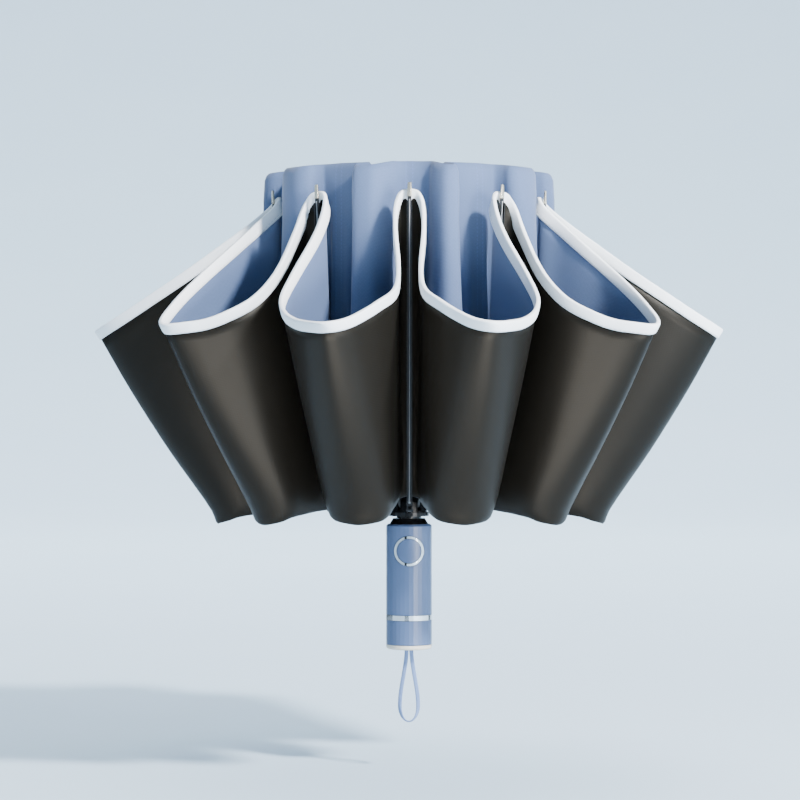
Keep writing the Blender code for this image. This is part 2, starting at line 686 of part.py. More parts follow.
def make_middle_ribs(steel):
    direction = (FOOT_CORNER - COLLAR_HINGE).normalized()
    web_side = side_of(direction)
    start = COLLAR_HINGE + COLLAR_TONGUE_LENGTH * direction
    end = FOOT_CORNER - CHANNEL_END * direction
    channel = channel_mesh("middle_rib", start, end, web_side, INNER_WEB_OFFSET, INNER_OPEN_OFFSET)
    tongue_end = start + TONGUE_OVERLAP * direction
    rib = combined(channel, plug_mesh(start - PLUG_LEAD * direction, tongue_end, web_side), "UNION")
    rib = combined(rib, tongue_mesh(COLLAR_HINGE, tongue_end), "UNION")
    foot_plug = plug_mesh(end - FOOT_PLUG_LENGTH * direction, end + FOOT_PLUG_OVERRUN * direction, web_side)
    rib = combined(rib, foot_plug, "UNION")
    foot = tongue_mesh(FOLD_HINGE, FOOT_CORNER)
    place_ribs("middle_rib", combined(rib, foot, "UNION"), steel)


def make_outer_ribs(steel):
    direction = (RIB_TIP - FOLD_HINGE).normalized()
    web_side = side_of(direction)
    start = FOLD_HINGE - CHANNEL_END * direction
    end = RIB_TIP - TIP_CAP_OVERLAP * direction
    channel = channel_mesh("outer_rib", start, end, web_side, OUTER_WEB_OFFSET, OUTER_OPEN_OFFSET)
    channel = with_rivet_holes(channel, FOLD_HINGE)
    half = CHANNEL_WIDTH / 2 - CHANNEL_WALL
    notch_low = FOLD_HINGE - WEB_NOTCH * direction
    notch_high = FOLD_HINGE + WEB_NOTCH * direction
    lift = NOTCH_DEPTH * web_side
    notch = plate_mesh("web_notch", (notch_low, notch_high, notch_high + lift, notch_low + lift), -half, half)
    rib = combined(channel, notch, "DIFFERENCE")
    tip_start = RIB_TIP - TIP_CAP_LENGTH * direction
    place_ribs("outer_rib", combined(rib, tip_cap_mesh(tip_start, RIB_TIP), "UNION"), steel)


# Round cap along a rib's last stretch
def tip_cap_mesh(start, end):
    middle = (start + end) / 2
    run = end - start
    tilt = Matrix.Rotation(math.atan2(run[0], run[1]), 4, "Y")
    bm = bmesh.new()
    bmesh.ops.create_cone(
        bm, cap_ends=True, segments=TIP_SIDES, radius1=TIP_CAP_RADIUS, radius2=TIP_CAP_END_RADIUS,
        depth=run.length, matrix=Matrix.Translation((middle[0], 0, middle[1])) @ tilt,
    )
    return mesh_from(bm, "tip_cap")


def make_stretchers(steel):
    middle = stretcher_offset()
    half = STRETCHER_THICKNESS / 2
    outline = link_outline(CROWN_PIVOT, STRETCHER_END, STRETCHER_HALF_HEIGHT)
    link = plate_mesh("stretcher", outline, middle - half, middle + half)
    pin = cross_bar_mesh("rivet", CROWN_PIVOT, RIVET_RADIUS, middle - RIVET_HALF_LENGTH, middle + RIVET_HALF_LENGTH)
    place_ribs("stretcher", combined(link, pin, "UNION"), steel)


# Ten objects that share one mesh, each turned to its place round the shaft
def place_ribs(name, mesh, material):
    for index, turn in enumerate(rib_turns(), start=1):
        place(f"{name}_{index:02d}", mesh, material, turn=turn)


# Points of one ring of the canopy all the way round
def lobe_ring(rib_radius, lobe_radius, rib_height, lobe_height, shares):
    half_pitch = math.pi / RIB_COUNT
    half_lobe = [
        (
            rib_radius + out * (lobe_radius - rib_radius),
            angle * half_pitch,
            rib_height + drop * (lobe_height - rib_height),
        )
        for out, angle, drop in shares
    ]
    ring = []
    for turn in rib_turns():
        middle = turn + half_pitch
        for radius, angle, height in half_lobe:
            ring.append((radius, middle - angle, height))
        for radius, angle, height in reversed(half_lobe[1:-1]):
            ring.append((radius, middle + angle, height))
    return [
        Vector((radius * math.cos(angle), radius * math.sin(angle), height))
        for radius, angle, height in ring
    ]


# The same ring, moved in by a distance at right angles to itself, level
def moved_in(ring, distance):
    count = len(ring)
    result = []
    for index, point in enumerate(ring):
        run = ring[(index + 1) % count] - ring[index - 1]
        inward = Vector((-run[1], run[0], 0)).normalized()
        result.append(point + distance * inward)
    return result


def canopy_rings():
    rim = lobe_ring(RIM_RIB_RADIUS, RIM_LOBE_RADIUS, RIM_RIB_HEIGHT, RIM_LOBE_HEIGHT, RIM_LOBE_SHARES)
    fold = lobe_ring(FOLD_RIB_RADIUS, FOLD_LOBE_RADIUS, FOLD_RIB_HEIGHT, FOLD_LOBE_HEIGHT, FOLD_LOBE_SHARES)
    collar = lobe_ring(
        COLLAR_RIB_RADIUS, COLLAR_LOBE_RADIUS, COLLAR_TOP_HEIGHT - COLLAR_RIB_DROP,
        COLLAR_TOP_HEIGHT, COLLAR_LOBE_SHARES,
    )
    centre_height = CROWN_TOP + SEAT_GAP + CLOTH_THICKNESS
    centre = [
        Vector((point[0], point[1], 0)).normalized() * CLOTH_CENTRE_RADIUS + Vector((0, 0, centre_height))
        for point in collar
    ]
    return centre, moved_in(collar, COLLAR_FOLD_WIDTH), collar, moved_in(fold, CLOTH_FOLD_WIDTH), fold, rim


# Where the outer wall stops and the trim begins, a distance down from the rim
def below_rim(fold, rim, distance):
    return [high + distance * (low - high).normalized() for low, high in zip(fold, rim)]


def make_canopy(blue):
    centre, collar_in, collar, fold_in, fold, rim = canopy_rings()
    edge = below_rim(fold, rim, TRIM_WIDTH + TRIM_GAP)
    rings = (centre, collar_in, collar, fold_in, fold, edge)
    bm = bmesh.new()
    rows = [[bm.verts.new(point) for point in ring] for ring in rings]
    for low, high in zip(rows, rows[1:]):
        count = len(low)
        for index in range(count):
            after = (index + 1) % count
            bm.faces.new((low[index], low[after], high[after], high[index]))
    canopy = place("canopy", mesh_from(bm, "canopy"), blue)
    thicken = canopy.modifiers.new("thickness", "SOLIDIFY")
    thicken.thickness = CLOTH_THICKNESS
    thicken.offset = 0


def make_trim(white):
    rings = canopy_rings()
    fold, rim = rings[-2], rings[-1]
    count = len(rim)
    bm = bmesh.new()
    rows = []
    for index in range(count):
        run = (rim[(index + 1) % count] - rim[index - 1]).normalized()
        down = (fold[index] - rim[index]).normalized()
        out = run.cross(down).normalized()
        half = TRIM_THICKNESS / 2
        corners = (
            rim[index] + half * out, rim[index] - half * out,
            rim[index] + TRIM_WIDTH * down - half * out, rim[index] + TRIM_WIDTH * down + half * out,
        )
        rows.append([bm.verts.new(point) for point in corners])
    for index in range(count):
        here, after = rows[index], rows[(index + 1) % count]
        for corner in range(4):
            following = (corner + 1) % 4
            bm.faces.new((here[corner], here[following], after[following], after[corner]))
    place("canopy_trim", mesh_from(bm, "canopy_trim"), white)


# The strap's centre line: down one leg, round the bottom and up the other
def strap_points():
    top = ANCHOR_RECESS - SEAT_GAP
    widest = -STRAP_WIDEST_DEPTH
    bottom = -STRAP_LENGTH_DOWN
    half = []
    for step in range(STRAP_POINTS_PER_HALF):
        share = step / STRAP_POINTS_PER_HALF
        ease = share * share * (3 - 2 * share)
        half.append((STRAP_LEG_SPACING + (STRAP_WIDEST - STRAP_LEG_SPACING) * ease, top + (widest - top) * share))
    arc_steps = STRAP_POINTS_PER_HALF // 2
    for step in range(arc_steps):
        angle = math.pi / 2 * step / arc_steps
        half.append((STRAP_WIDEST * math.cos(angle), widest + (bottom - widest) * math.sin(angle)))
    left = [(-across, height) for across, height in half]
    return left + [(0, bottom)] + list(reversed(half))


def make_strap(blue, cream):
    curve = bpy.data.curves.new("wrist_strap", "CURVE")
    curve.dimensions = "3D"
    curve.bevel_depth = STRAP_RADIUS
    curve.bevel_resolution = STRAP_BEVEL_SEGMENTS
    curve.use_fill_caps = True
    points = strap_points()
    spline = curve.splines.new("POLY")
    spline.points.add(len(points) - 1)
    for target, (across, height) in zip(spline.points, points):
        target.co = (across, 0, height, 1.0)
    curve.materials.append(blue)
    strap = bpy.data.objects.new("wrist_strap", curve)
    bpy.context.scene.collection.objects.link(strap)

    head_top = ANCHOR_RECESS + ANCHOR_HEAD_HEIGHT
    anchor = turned_mesh("strap_anchor", (
        (0, ANCHOR_RECESS),
        (ANCHOR_HEAD_RADIUS, ANCHOR_RECESS),
        (ANCHOR_HEAD_RADIUS, head_top),
        (ANCHOR_SHANK_RADIUS, head_top),
        (ANCHOR_SHANK_RADIUS, ANCHOR_SHANK_LENGTH),
        (0, ANCHOR_SHANK_LENGTH),
    ), TUBE_SIDES)
    place("strap_anchor", anchor, cream)


def main():
    clear_scene()
    blue = make_material("blue_paint", (0.17, 0.26, 0.46), 0.45)
    cloth_blue = make_material("blue_cloth", (0.17, 0.27, 0.48), 0.8)
    black = make_material("black_plastic", (0.012, 0.012, 0.013), 0.25)
    steel = make_material("black_steel", (0.03, 0.03, 0.032), 0.35, 0.8)
    bright = make_material("bright_steel", (0.6, 0.6, 0.62), 0.3, 1.0)
    chrome = make_material("chrome", (0.8, 0.8, 0.82), 0.1, 1.0)
    cream = make_material("cream_plastic", (0.82, 0.78, 0.70), 0.5)
    white = make_material("white_tape", (0.86, 0.88, 0.92), 0.7)

    make_grip(blue, chrome, cream, black)
    make_button(blue, chrome, bright)
    make_latch(bright)
    make_shaft_holder(black)
    make_shaft(bright)
    make_runner(black)
    make_crown(black, blue)
    make_inner_ribs(steel)
    make_middle_ribs(steel)
    make_outer_ribs(steel)
    make_stretchers(steel)
    make_canopy(cloth_blue)
    make_trim(white)
    make_strap(cloth_blue, cream)


main()
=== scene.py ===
import math

import bmesh
import bpy
from mathutils import Matrix, Vector


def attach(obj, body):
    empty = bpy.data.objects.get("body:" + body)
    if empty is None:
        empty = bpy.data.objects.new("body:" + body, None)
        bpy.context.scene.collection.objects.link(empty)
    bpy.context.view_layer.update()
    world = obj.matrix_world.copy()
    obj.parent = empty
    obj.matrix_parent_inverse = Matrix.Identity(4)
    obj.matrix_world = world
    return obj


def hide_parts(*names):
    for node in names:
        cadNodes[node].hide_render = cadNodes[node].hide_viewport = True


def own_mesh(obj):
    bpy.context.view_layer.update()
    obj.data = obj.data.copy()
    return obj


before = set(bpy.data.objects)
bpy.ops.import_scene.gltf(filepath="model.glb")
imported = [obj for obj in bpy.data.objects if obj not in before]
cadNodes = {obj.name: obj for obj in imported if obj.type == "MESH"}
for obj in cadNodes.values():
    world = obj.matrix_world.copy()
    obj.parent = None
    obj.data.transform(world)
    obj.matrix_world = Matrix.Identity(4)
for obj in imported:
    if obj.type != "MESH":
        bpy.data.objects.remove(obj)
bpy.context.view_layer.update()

mm = 0.001
print("frame loaded")


# camera, at the photograph's level view
cameraSetup = {"place": (-0.0061, -1.8, 0.169), "lens": 119.1, "sensor": 36.0}


def makeCamera(setup):
    data = bpy.data.cameras.new("viewCamera")
    data.lens = setup["lens"]
    data.sensor_width = setup["sensor"]
    data.clip_start = 0.05
    data.clip_end = 60
    item = bpy.data.objects.new("viewCamera", data)
    item.location = setup["place"]
    item.rotation_euler = (math.radians(90), 0, 0)
    bpy.context.scene.collection.objects.link(item)
    bpy.context.scene.camera = item


makeCamera(cameraSetup)
print("camera stands")


# small helpers for meshes
def addPiece(name, mesh, material, body):
    mesh.materials.append(material)
    piece = bpy.data.objects.new(name, mesh)
    bpy.context.scene.collection.objects.link(piece)
    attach(piece, body)
    return piece


def meshOf(bm, name, sharpAngle):
    mesh = bpy.data.meshes.new(name)
    bm.to_mesh(mesh)
    bm.free()
    mesh.shade_smooth()
    mesh.set_sharp_from_angle(angle=math.radians(sharpAngle))
    return mesh


# a round piece from (radius, height) points in millimetres, the first and last on its axis
def spinShape(outline, steps):
    bm = bmesh.new()
    verts = [bm.verts.new((radius * mm, 0, height * mm)) for radius, height in outline]
    edges = [bm.edges.new(pair) for pair in zip(verts, verts[1:])]
    bmesh.ops.spin(
        bm, geom=verts + edges, cent=(0, 0, 0), axis=(0, 0, 1),
        angle=math.tau, steps=steps, use_merge=True,
    )
    bmesh.ops.remove_doubles(bm, verts=bm.verts, dist=0.000005)
    bmesh.ops.recalc_face_normals(bm, faces=bm.faces)
    return bm


# a smooth curve through points; steps holds how many pieces lie between each two
def curveThrough(points, steps, closed=False):
    count = len(points)
    spans = count if closed else count - 1
    result = []
    for index in range(spans):
        here = points[index]
        after = points[(index + 1) % count]
        before = points[index - 1] if closed or index > 0 else 2 * here - after
        beyond = points[(index + 2) % count] if closed or index + 2 < count else 2 * after - here
        first = max((here - before).length, 1e-6) ** 0.5
        second = max((after - here).length, 1e-6) ** 0.5
        third = max((beyond - after).length, 1e-6) ** 0.5
        slope = (after - here) / second
        leave = second * ((here - before) / first - (after - before) / (first + second) + slope)
        arrive = second * (slope - (beyond - here) / (second + third) + (beyond - after) / third)
        number = steps if isinstance(steps, int) else steps[index]
        for step in range(number):
            t = step / number
            result.append(
                (2 * t ** 3 - 3 * t ** 2 + 1) * here + (t ** 3 - 2 * t ** 2 + t) * leave
                + (3 * t ** 2 - 2 * t ** 3) * after + (t ** 3 - t ** 2) * arrive
            )
    if not closed:
        result.append(points[-1].copy())
    return result


# rises from 0 to 1 with a level start and end
def smoothStep(share):
    return share * share * (3 - 2 * share)


# small helpers for materials
def startMaterial(name, **shaderValues):
    material = bpy.data.materials.new(name)
    material.use_nodes = True
    shader = material.node_tree.nodes["Principled BSDF"]
    for socket, value in shaderValues.items():
        shader.inputs[socket.replace("_", " ")].default_value = value
    return material, material.node_tree, shader


def addNode(tree, kind, inputs=None, **settings):
    node = tree.nodes.new(kind)
    for key, value in settings.items():
        setattr(node, key, value)
    for key, value in (inputs or {}).items():
        if isinstance(value, bpy.types.NodeSocket):
            tree.links.new(value, node.inputs[key])
        else:
            node.inputs[key].default_value = value
    return node


def objectPoints(tree, scale=(1, 1, 1)):
    spot = addNode(tree, "ShaderNodeTexCoord")
    turned = addNode(tree, "ShaderNodeMapping", {"Vector": spot.outputs["Object"], "Scale": scale})
    return turned.outputs["Vector"]


def clothPoints(tree, mapName):
    return addNode(tree, "ShaderNodeUVMap", uv_map=mapName).outputs["UV"]


def noiseOf(tree, points, scale, detail):
    values = {"Vector": points, "Scale": scale, "Detail": detail}
    return addNode(tree, "ShaderNodeTexNoise", values).outputs["Fac"]


def mathOf(tree, operation, first, second=0.0):
    return addNode(tree, "ShaderNodeMath", {0: first, 1: second}, operation=operation).outputs[0]


def spread(tree, value, low, high):
    node = addNode(tree, "ShaderNodeMapRange", {"Value": value, "To Min": low, "To Max": high})
    return node.outputs["Result"]


def mixColours(tree, share, first, second):
    node = addNode(tree, "ShaderNodeMix", data_type="RGBA")
    for socket, value in ((node.inputs[0], share), (node.inputs[6], first), (node.inputs[7], second)):
        if isinstance(value, bpy.types.NodeSocket):
            tree.links.new(value, socket)
        else:
            socket.default_value = value
    return node.outputs[2]


def roughen(tree, shader, height, strength, distance=0.0002):
    values = {"Height": height, "Strength": strength, "Distance": distance}
    bump = addNode(tree, "ShaderNodeBump", values)
    tree.links.new(bump.outputs["Normal"], shader.inputs["Normal"])


# over-and-under threads, measured in metres along the cloth's own map
def weaveHeight(tree, points, threadsPerMetre):
    parts = addNode(tree, "ShaderNodeSeparateXYZ", {"Vector": points})
    across = mathOf(tree, "SINE", mathOf(tree, "MULTIPLY", parts.outputs["X"], math.pi * threadsPerMetre))
    along = mathOf(tree, "SINE", mathOf(tree, "MULTIPLY", parts.outputs["Y"], math.pi * threadsPerMetre))
    return spread(tree, mathOf(tree, "MULTIPLY", across, along), low=0.0, high=1.0)


# a row of stitches along a cloth's edge: 1 on the thread and 0 beside it
def stitchRow(tree, along, fromEdge, look):
    beside = mathOf(tree, "ABSOLUTE", mathOf(tree, "SUBTRACT", fromEdge, look["stitchLine"]))
    onLine = mathOf(tree, "LESS_THAN", beside, look["threadHalfWidth"])
    count = mathOf(tree, "FRACT", mathOf(tree, "MULTIPLY", along, look["stitchesPerMetre"]))
    onStitch = mathOf(tree, "LESS_THAN", count, look["stitchShare"])
    return mathOf(tree, "MULTIPLY", onLine, onStitch)


# finishes of the cloth, with lengths in metres along its own map
blueClothLook = {
    "deep": (0.051, 0.085, 0.176, 1), "pale": (0.080, 0.125, 0.238, 1), "worn": (0.065, 0.104, 0.207, 1),
    "threadsPerMetre": 900, "slubScale": 650, "weaveShare": 0.25, "wearScale": 14, "leastWorn": 0.35,
    "stitchLine": 0.0022, "threadHalfWidth": 0.0004, "stitchesPerMetre": 380, "stitchShare": 0.62,
    "thread": (0.080, 0.130, 0.290, 1), "threadShows": 0.55, "hemWidth": 0.0045, "hemRise": 0.8,
}


def makeBlueCloth(look):
    material, tree, shader = startMaterial(
        "blueCloth", Roughness=0.82, Sheen_Weight=0.25, Sheen_Roughness=0.5,
    )
    points = clothPoints(tree, "weave")
    weave = weaveHeight(tree, points, look["threadsPerMetre"])
    slubs = noiseOf(tree, points, look["slubScale"], detail=3.0)
    wear = noiseOf(tree, objectPoints(tree), look["wearScale"], detail=3.0)
    shade = mathOf(
        tree, "ADD", mathOf(tree, "MULTIPLY", weave, look["weaveShare"]),
        mathOf(tree, "MULTIPLY", slubs, 1 - look["weaveShare"]),
    )
    base = mixColours(tree, shade, look["deep"], look["pale"])
    worn = mixColours(tree, spread(tree, wear, low=0.0, high=look["leastWorn"]), base, look["worn"])
    seam = addNode(tree, "ShaderNodeSeparateXYZ", {"Vector": clothPoints(tree, "seam")})
    fromSeam, along = seam.outputs["X"], seam.outputs["Y"]
    thread = stitchRow(tree, along, fromSeam, look)
    full = mixColours(tree, mathOf(tree, "MULTIPLY", thread, look["threadShows"]), worn, look["thread"])
    tree.links.new(full, shader.inputs["Base Color"])
    hem = spread(tree, mathOf(tree, "LESS_THAN", fromSeam, look["hemWidth"]), low=0.0, high=look["hemRise"])
    height = mathOf(tree, "ADD", mathOf(tree, "SUBTRACT", weave, thread), hem)
    roughen(tree, shader, height, strength=0.12)
    return material


blackCoatingLook = {
    "dark": (0.0042, 0.0039, 0.0033, 1), "light": (0.0066, 0.0061, 0.0052, 1),
    "shineTint": (1.0, 0.95, 0.86, 1), "threadsPerMetre": 1100, "cloudScale": 9,
}


def makeBlackCoating(look):
    material, tree, shader = startMaterial(
        "blackCoating", Specular_IOR_Level=0.10, Specular_Tint=look["shineTint"],
    )
    weave = weaveHeight(tree, clothPoints(tree, "weave"), look["threadsPerMetre"])
    cloud = noiseOf(tree, objectPoints(tree), look["cloudScale"], detail=4.0)
    tree.links.new(mixColours(tree, cloud, look["dark"], look["light"]), shader.inputs["Base Color"])
    tree.links.new(spread(tree, cloud, low=0.34, high=0.46), shader.inputs["Roughness"])
    roughen(tree, shader, weave, strength=0.15)
    return material


whiteTapeLook = {
    "dark": (0.91, 0.925, 0.95, 1), "light": (0.97, 0.975, 0.985, 1), "cloudScale": 30,
    "ribSlant": 0.6, "ribWaves": 6800,                  # radians of the twill's wave in a metre
    "stitchLine": 0.0064, "threadHalfWidth": 0.0003, "stitchesPerMetre": 360, "stitchShare": 0.64,
    "thread": (0.55, 0.58, 0.64, 1), "threadShows": 0.5, "threadDepth": 2.0,
}


def makeWhiteTape(look):
    material, tree, shader = startMaterial("whiteTape", Roughness=0.72, Sheen_Weight=0.2)
    parts = addNode(tree, "ShaderNodeSeparateXYZ", {"Vector": clothPoints(tree, "tape")})
    along, across = parts.outputs["X"], parts.outputs["Y"]
    slanted = mathOf(tree, "ADD", along, mathOf(tree, "MULTIPLY", across, look["ribSlant"]))
    ribs = mathOf(tree, "SINE", mathOf(tree, "MULTIPLY", slanted, look["ribWaves"]))
    twill = spread(tree, ribs, low=0.0, high=1.0)
    stitch = stitchRow(tree, along, across, look)
    cloud = noiseOf(tree, objectPoints(tree), look["cloudScale"], detail=3.0)
    shade = mathOf(tree, "MULTIPLY", mathOf(tree, "ADD", twill, cloud), 0.5)
    base = mixColours(tree, shade, look["dark"], look["light"])
    full = mixColours(tree, mathOf(tree, "MULTIPLY", stitch, look["threadShows"]), base, look["thread"])
    tree.links.new(full, shader.inputs["Base Color"])
    height = mathOf(tree, "SUBTRACT", twill, mathOf(tree, "MULTIPLY", stitch, look["threadDepth"]))
    roughen(tree, shader, height, strength=0.3)
    return material


strapRibbonLook = {
    "dark": (0.100, 0.165, 0.340, 1), "light": (0.190, 0.280, 0.500, 1), "spine": 0.0014,
    "ribWaves": 9000, "fuzzScale": 900,
}


def makeStrapRibbon(look):
    material, tree, shader = startMaterial("strapRibbon", Roughness=0.7, Sheen_Weight=0.3)
    parts = addNode(tree, "ShaderNodeSeparateXYZ", {"Vector": clothPoints(tree, "tape")})
    along, across = parts.outputs["X"], parts.outputs["Y"]
    fromSpine = mathOf(tree, "ABSOLUTE", mathOf(tree, "SUBTRACT", across, look["spine"]))
    chevron = mathOf(tree, "MULTIPLY", mathOf(tree, "ADD", along, fromSpine), look["ribWaves"])
    ribs = spread(tree, mathOf(tree, "SINE", chevron), low=0.0, high=1.0)
    fuzz = noiseOf(tree, objectPoints(tree), look["fuzzScale"], detail=3.0)
    shade = mathOf(tree, "MULTIPLY", mathOf(tree, "ADD", ribs, fuzz), 0.5)
    tree.links.new(mixColours(tree, shade, look["dark"], look["light"]), shader.inputs["Base Color"])
    roughen(tree, shader, ribs, strength=0.5)
    return material


# finishes of the hard pieces
def makeGripPaint():
    material, tree, shader = startMaterial("gripPaint", Coat_Weight=0.15, Coat_Roughness=0.35)
    points = objectPoints(tree)
    grain = noiseOf(tree, points, scale=2600, detail=2.0)
    cloud = noiseOf(tree, points, scale=60, detail=3.0)
    base = mixColours(tree, cloud, (0.067, 0.108, 0.216, 1), (0.081, 0.124, 0.240, 1))
    tree.links.new(base, shader.inputs["Base Color"])
    tree.links.new(spread(tree, cloud, low=0.36, high=0.46), shader.inputs["Roughness"])
    roughen(tree, shader, grain, strength=0.06)
    return material


def makeChrome():
    material, tree, shader = startMaterial("chrome", Metallic=1.0)
    lines = noiseOf(tree, objectPoints(tree, (1, 1, 40)), scale=900, detail=3.0)
    base = mixColours(tree, lines, (0.50, 0.52, 0.54, 1), (0.72, 0.73, 0.75, 1))
    tree.links.new(base, shader.inputs["Base Color"])
    tree.links.new(spread(tree, lines, low=0.06, high=0.14), shader.inputs["Roughness"])
    return material


def makePlastic(name, dark, light, rough, specular=0.5):
    material, tree, shader = startMaterial(name, Specular_IOR_Level=specular)
    points = objectPoints(tree)
    cloud = noiseOf(tree, points, scale=120, detail=3.0)
    grain = noiseOf(tree, points, scale=3000, detail=2.0)
    tree.links.new(mixColours(tree, cloud, (*dark, 1), (*light, 1)), shader.inputs["Base Color"])
    tree.links.new(spread(tree, cloud, low=rough - 0.04, high=rough + 0.05), shader.inputs["Roughness"])
    roughen(tree, shader, grain, strength=0.04)
    return material


def makeMetal(name, dark, light, rough, metallic):
    material, tree, shader = startMaterial(name, Metallic=metallic)
    drawn = noiseOf(tree, objectPoints(tree, (1, 1, 0.03)), scale=2400, detail=3.0)
    worn = noiseOf(tree, objectPoints(tree), scale=90, detail=4.0)
    tree.links.new(mixColours(tree, worn, (*dark, 1), (*light, 1)), shader.inputs["Base Color"])
    tree.links.new(spread(tree, drawn, low=rough - 0.06, high=rough + 0.08), shader.inputs["Roughness"])
    roughen(tree, shader, drawn, strength=0.05, distance=0.0001)
    return material


blueCloth = makeBlueCloth(blueClothLook)
blackCoating = makeBlackCoating(blackCoatingLook)
whiteTape = makeWhiteTape(whiteTapeLook)
strapRibbon = makeStrapRibbon(strapRibbonLook)
gripPaint = makeGripPaint()
chrome = makeChrome()
creamPlastic = makePlastic("creamPlastic", (0.66, 0.59, 0.49), (0.74, 0.67, 0.57), rough=0.42)
hubPlastic = makePlastic(
    "hubPlastic", (0.003, 0.003, 0.0034), (0.006, 0.006, 0.0064), rough=0.24, specular=0.22,
)
brightSteel = makeMetal("brightSteel", (0.50, 0.51, 0.53), (0.66, 0.67, 0.69), rough=0.28, metallic=1.0)
ribLacquer = makeMetal("ribLacquer", (0.003, 0.003, 0.0034), (0.008, 0.008, 0.009), rough=0.42, metallic=0.1)
wireSteel = makeMetal("wireSteel", (0.28, 0.28, 0.29), (0.42, 0.42, 0.43), rough=0.34, metallic=1.0)
tipMetal = makeMetal("tipMetal", (0.50, 0.43, 0.33), (0.66, 0.58, 0.46), rough=0.26, metallic=0.9)
print("finishes mixed")


# wrist strap, a flat ribbon loop that hangs free
strap = {
    "legSpacing": 1.6, "widest": 6.2, "widestDepth": 39.0, "drop": 49.6, "top": 0.2,
    "width": 2.7, "thickness": 0.9, "cornerIn": 0.8, "edgeHalf": 0.45,
    "legPoints": 12, "bendPoints": 6, "steps": 4,
    "twist": 78, "sway": 14,                            # degrees
    "twistFrom": 0.55,                                  # share of the way down where the twist starts
}


def strapPath(shape):
    half = []
    for step in range(shape["legPoints"]):
        share = step / shape["legPoints"]
        across = shape["legSpacing"] + (shape["widest"] - shape["legSpacing"]) * smoothStep(share)
        half.append(Vector((across, 0, shape["top"] - (shape["widestDepth"] + shape["top"]) * share)))
    for step in range(shape["bendPoints"]):
        angle = math.pi / 2 * step / shape["bendPoints"]
        fall = shape["widestDepth"] + (shape["drop"] - shape["widestDepth"]) * math.sin(angle)
        half.append(Vector((shape["widest"] * math.cos(angle), 0, -fall)))
    left = [Vector((-point.x, 0, point.z)) for point in half]
    points = left + [Vector((0, 0, -shape["drop"]))] + half[::-1]
    return [point * mm for point in curveThrough(points, shape["steps"])]


def makeStrap(shape, material):
    path = strapPath(shape)
    bm = bmesh.new()
    mapLayer = bm.loops.layers.uv.new("tape")
    half, thin = shape["width"] * mm / 2, shape["thickness"] * mm / 2
    inset, edge = shape["cornerIn"], shape["edgeHalf"]
    corners = [
        (-1, -edge), (-inset, -1), (inset, -1), (1, -edge), (1, edge), (inset, 1), (-inset, 1), (-1, edge),
    ]
    backward = Vector((0, 1, 0))
    rings = []
    travel = [0.0]
    for index, point in enumerate(path):
        tangent = (path[min(index + 1, len(path) - 1)] - path[max(index - 1, 0)]).normalized()
        share = 1 - abs(2 * index / (len(path) - 1) - 1)
        twisted = smoothStep(max(0.0, (share - shape["twistFrom"]) / (1 - shape["twistFrom"])))
        turn = math.radians(shape["twist"] * twisted + shape["sway"] * math.sin(math.pi * share))
        level = backward.cross(tangent).normalized()
        wide = math.cos(turn) * level + math.sin(turn) * backward
        flat = tangent.cross(wide).normalized()
        rings.append([bm.verts.new(point + wide * half * x + flat * thin * y) for x, y in corners])
        if index:
            travel.append(travel[-1] + (point - path[index - 1]).length)
    for index in range(len(rings) - 1):
        for side in range(len(corners)):
            following = (side + 1) % len(corners)
            places = ((index, side), (index, following), (index + 1, following), (index + 1, side))
            face = bm.faces.new([rings[row][column] for row, column in places])
            for loop, (row, column) in zip(face.loops, places):
                loop[mapLayer].uv = (travel[row], (corners[column][0] + 1) * half)
    bm.faces.new(rings[0][::-1])
    bm.faces.new(rings[-1])
    bmesh.ops.recalc_face_normals(bm, faces=bm.faces)
    mesh = meshOf(bm, "wristStrap", sharpAngle=60)
    piece = addPiece("wristStrap", mesh, material, "handle")
    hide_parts("wrist_strap")


makeStrap(strap, strapRibbon)
print("strap hangs")


# canopy, one sheet from the crown over the collar, down, round the fold and up to the rim
ribCount = 10
halfPitch = math.pi / ribCount
frontLobe = math.radians(-72)
pointsToMiddle = 9                                      # from a rib to the middle of a lobe
pointsPerLobe = 2 * pointsToMiddle

# one row for each lobe, anticlockwise seen from above, from the one right of the front rib. Rim and fold:
# reach and height in mm, lean in degrees. Collar pleat: reach, half width as a share of the half pitch,
# lean, and the side its sharp edge is on (0 for a round pleat)
lobes = (
    {"rim": (207, 216.5, -3.8), "fold": (136, 90, -2.6), "pleat": (98, 0.21, -2.5, 1)},
    {"rim": (199, 217.0, -2.5), "fold": (131, 88, -5.0), "pleat": (97, 0.50, 1.0, 0)},
    {"rim": (212, 217.0, -2.0), "fold": (136, 85, -1.0), "pleat": (98, 0.34, 0.0, 0)},
    {"rim": (206, 215.0, 1.5), "fold": (134, 86, 1.0), "pleat": (96, 0.30, 1.5, 1)},
    {"rim": (209, 213.0, -1.0), "fold": (137, 85, -1.5), "pleat": (98, 0.36, -1.0, 0)},
    {"rim": (205, 216.0, 1.0), "fold": (135, 87, 1.0), "pleat": (97, 0.28, 1.0, -1)},
    {"rim": (208, 214.0, -1.5), "fold": (134, 85, -1.0), "pleat": (98, 0.33, -1.5, 0)},
    {"rim": (212, 216.0, 2.0), "fold": (134, 85, 1.0), "pleat": (98, 0.34, 0.0, 0)},
    {"rim": (199, 217.0, 2.5), "fold": (130, 88, 5.5), "pleat": (97, 0.50, -1.0, 0)},
    {"rim": (207, 216.0, 3.6), "fold": (135, 90, 3.6), "pleat": (97, 0.33, 1.0, -1)},
)

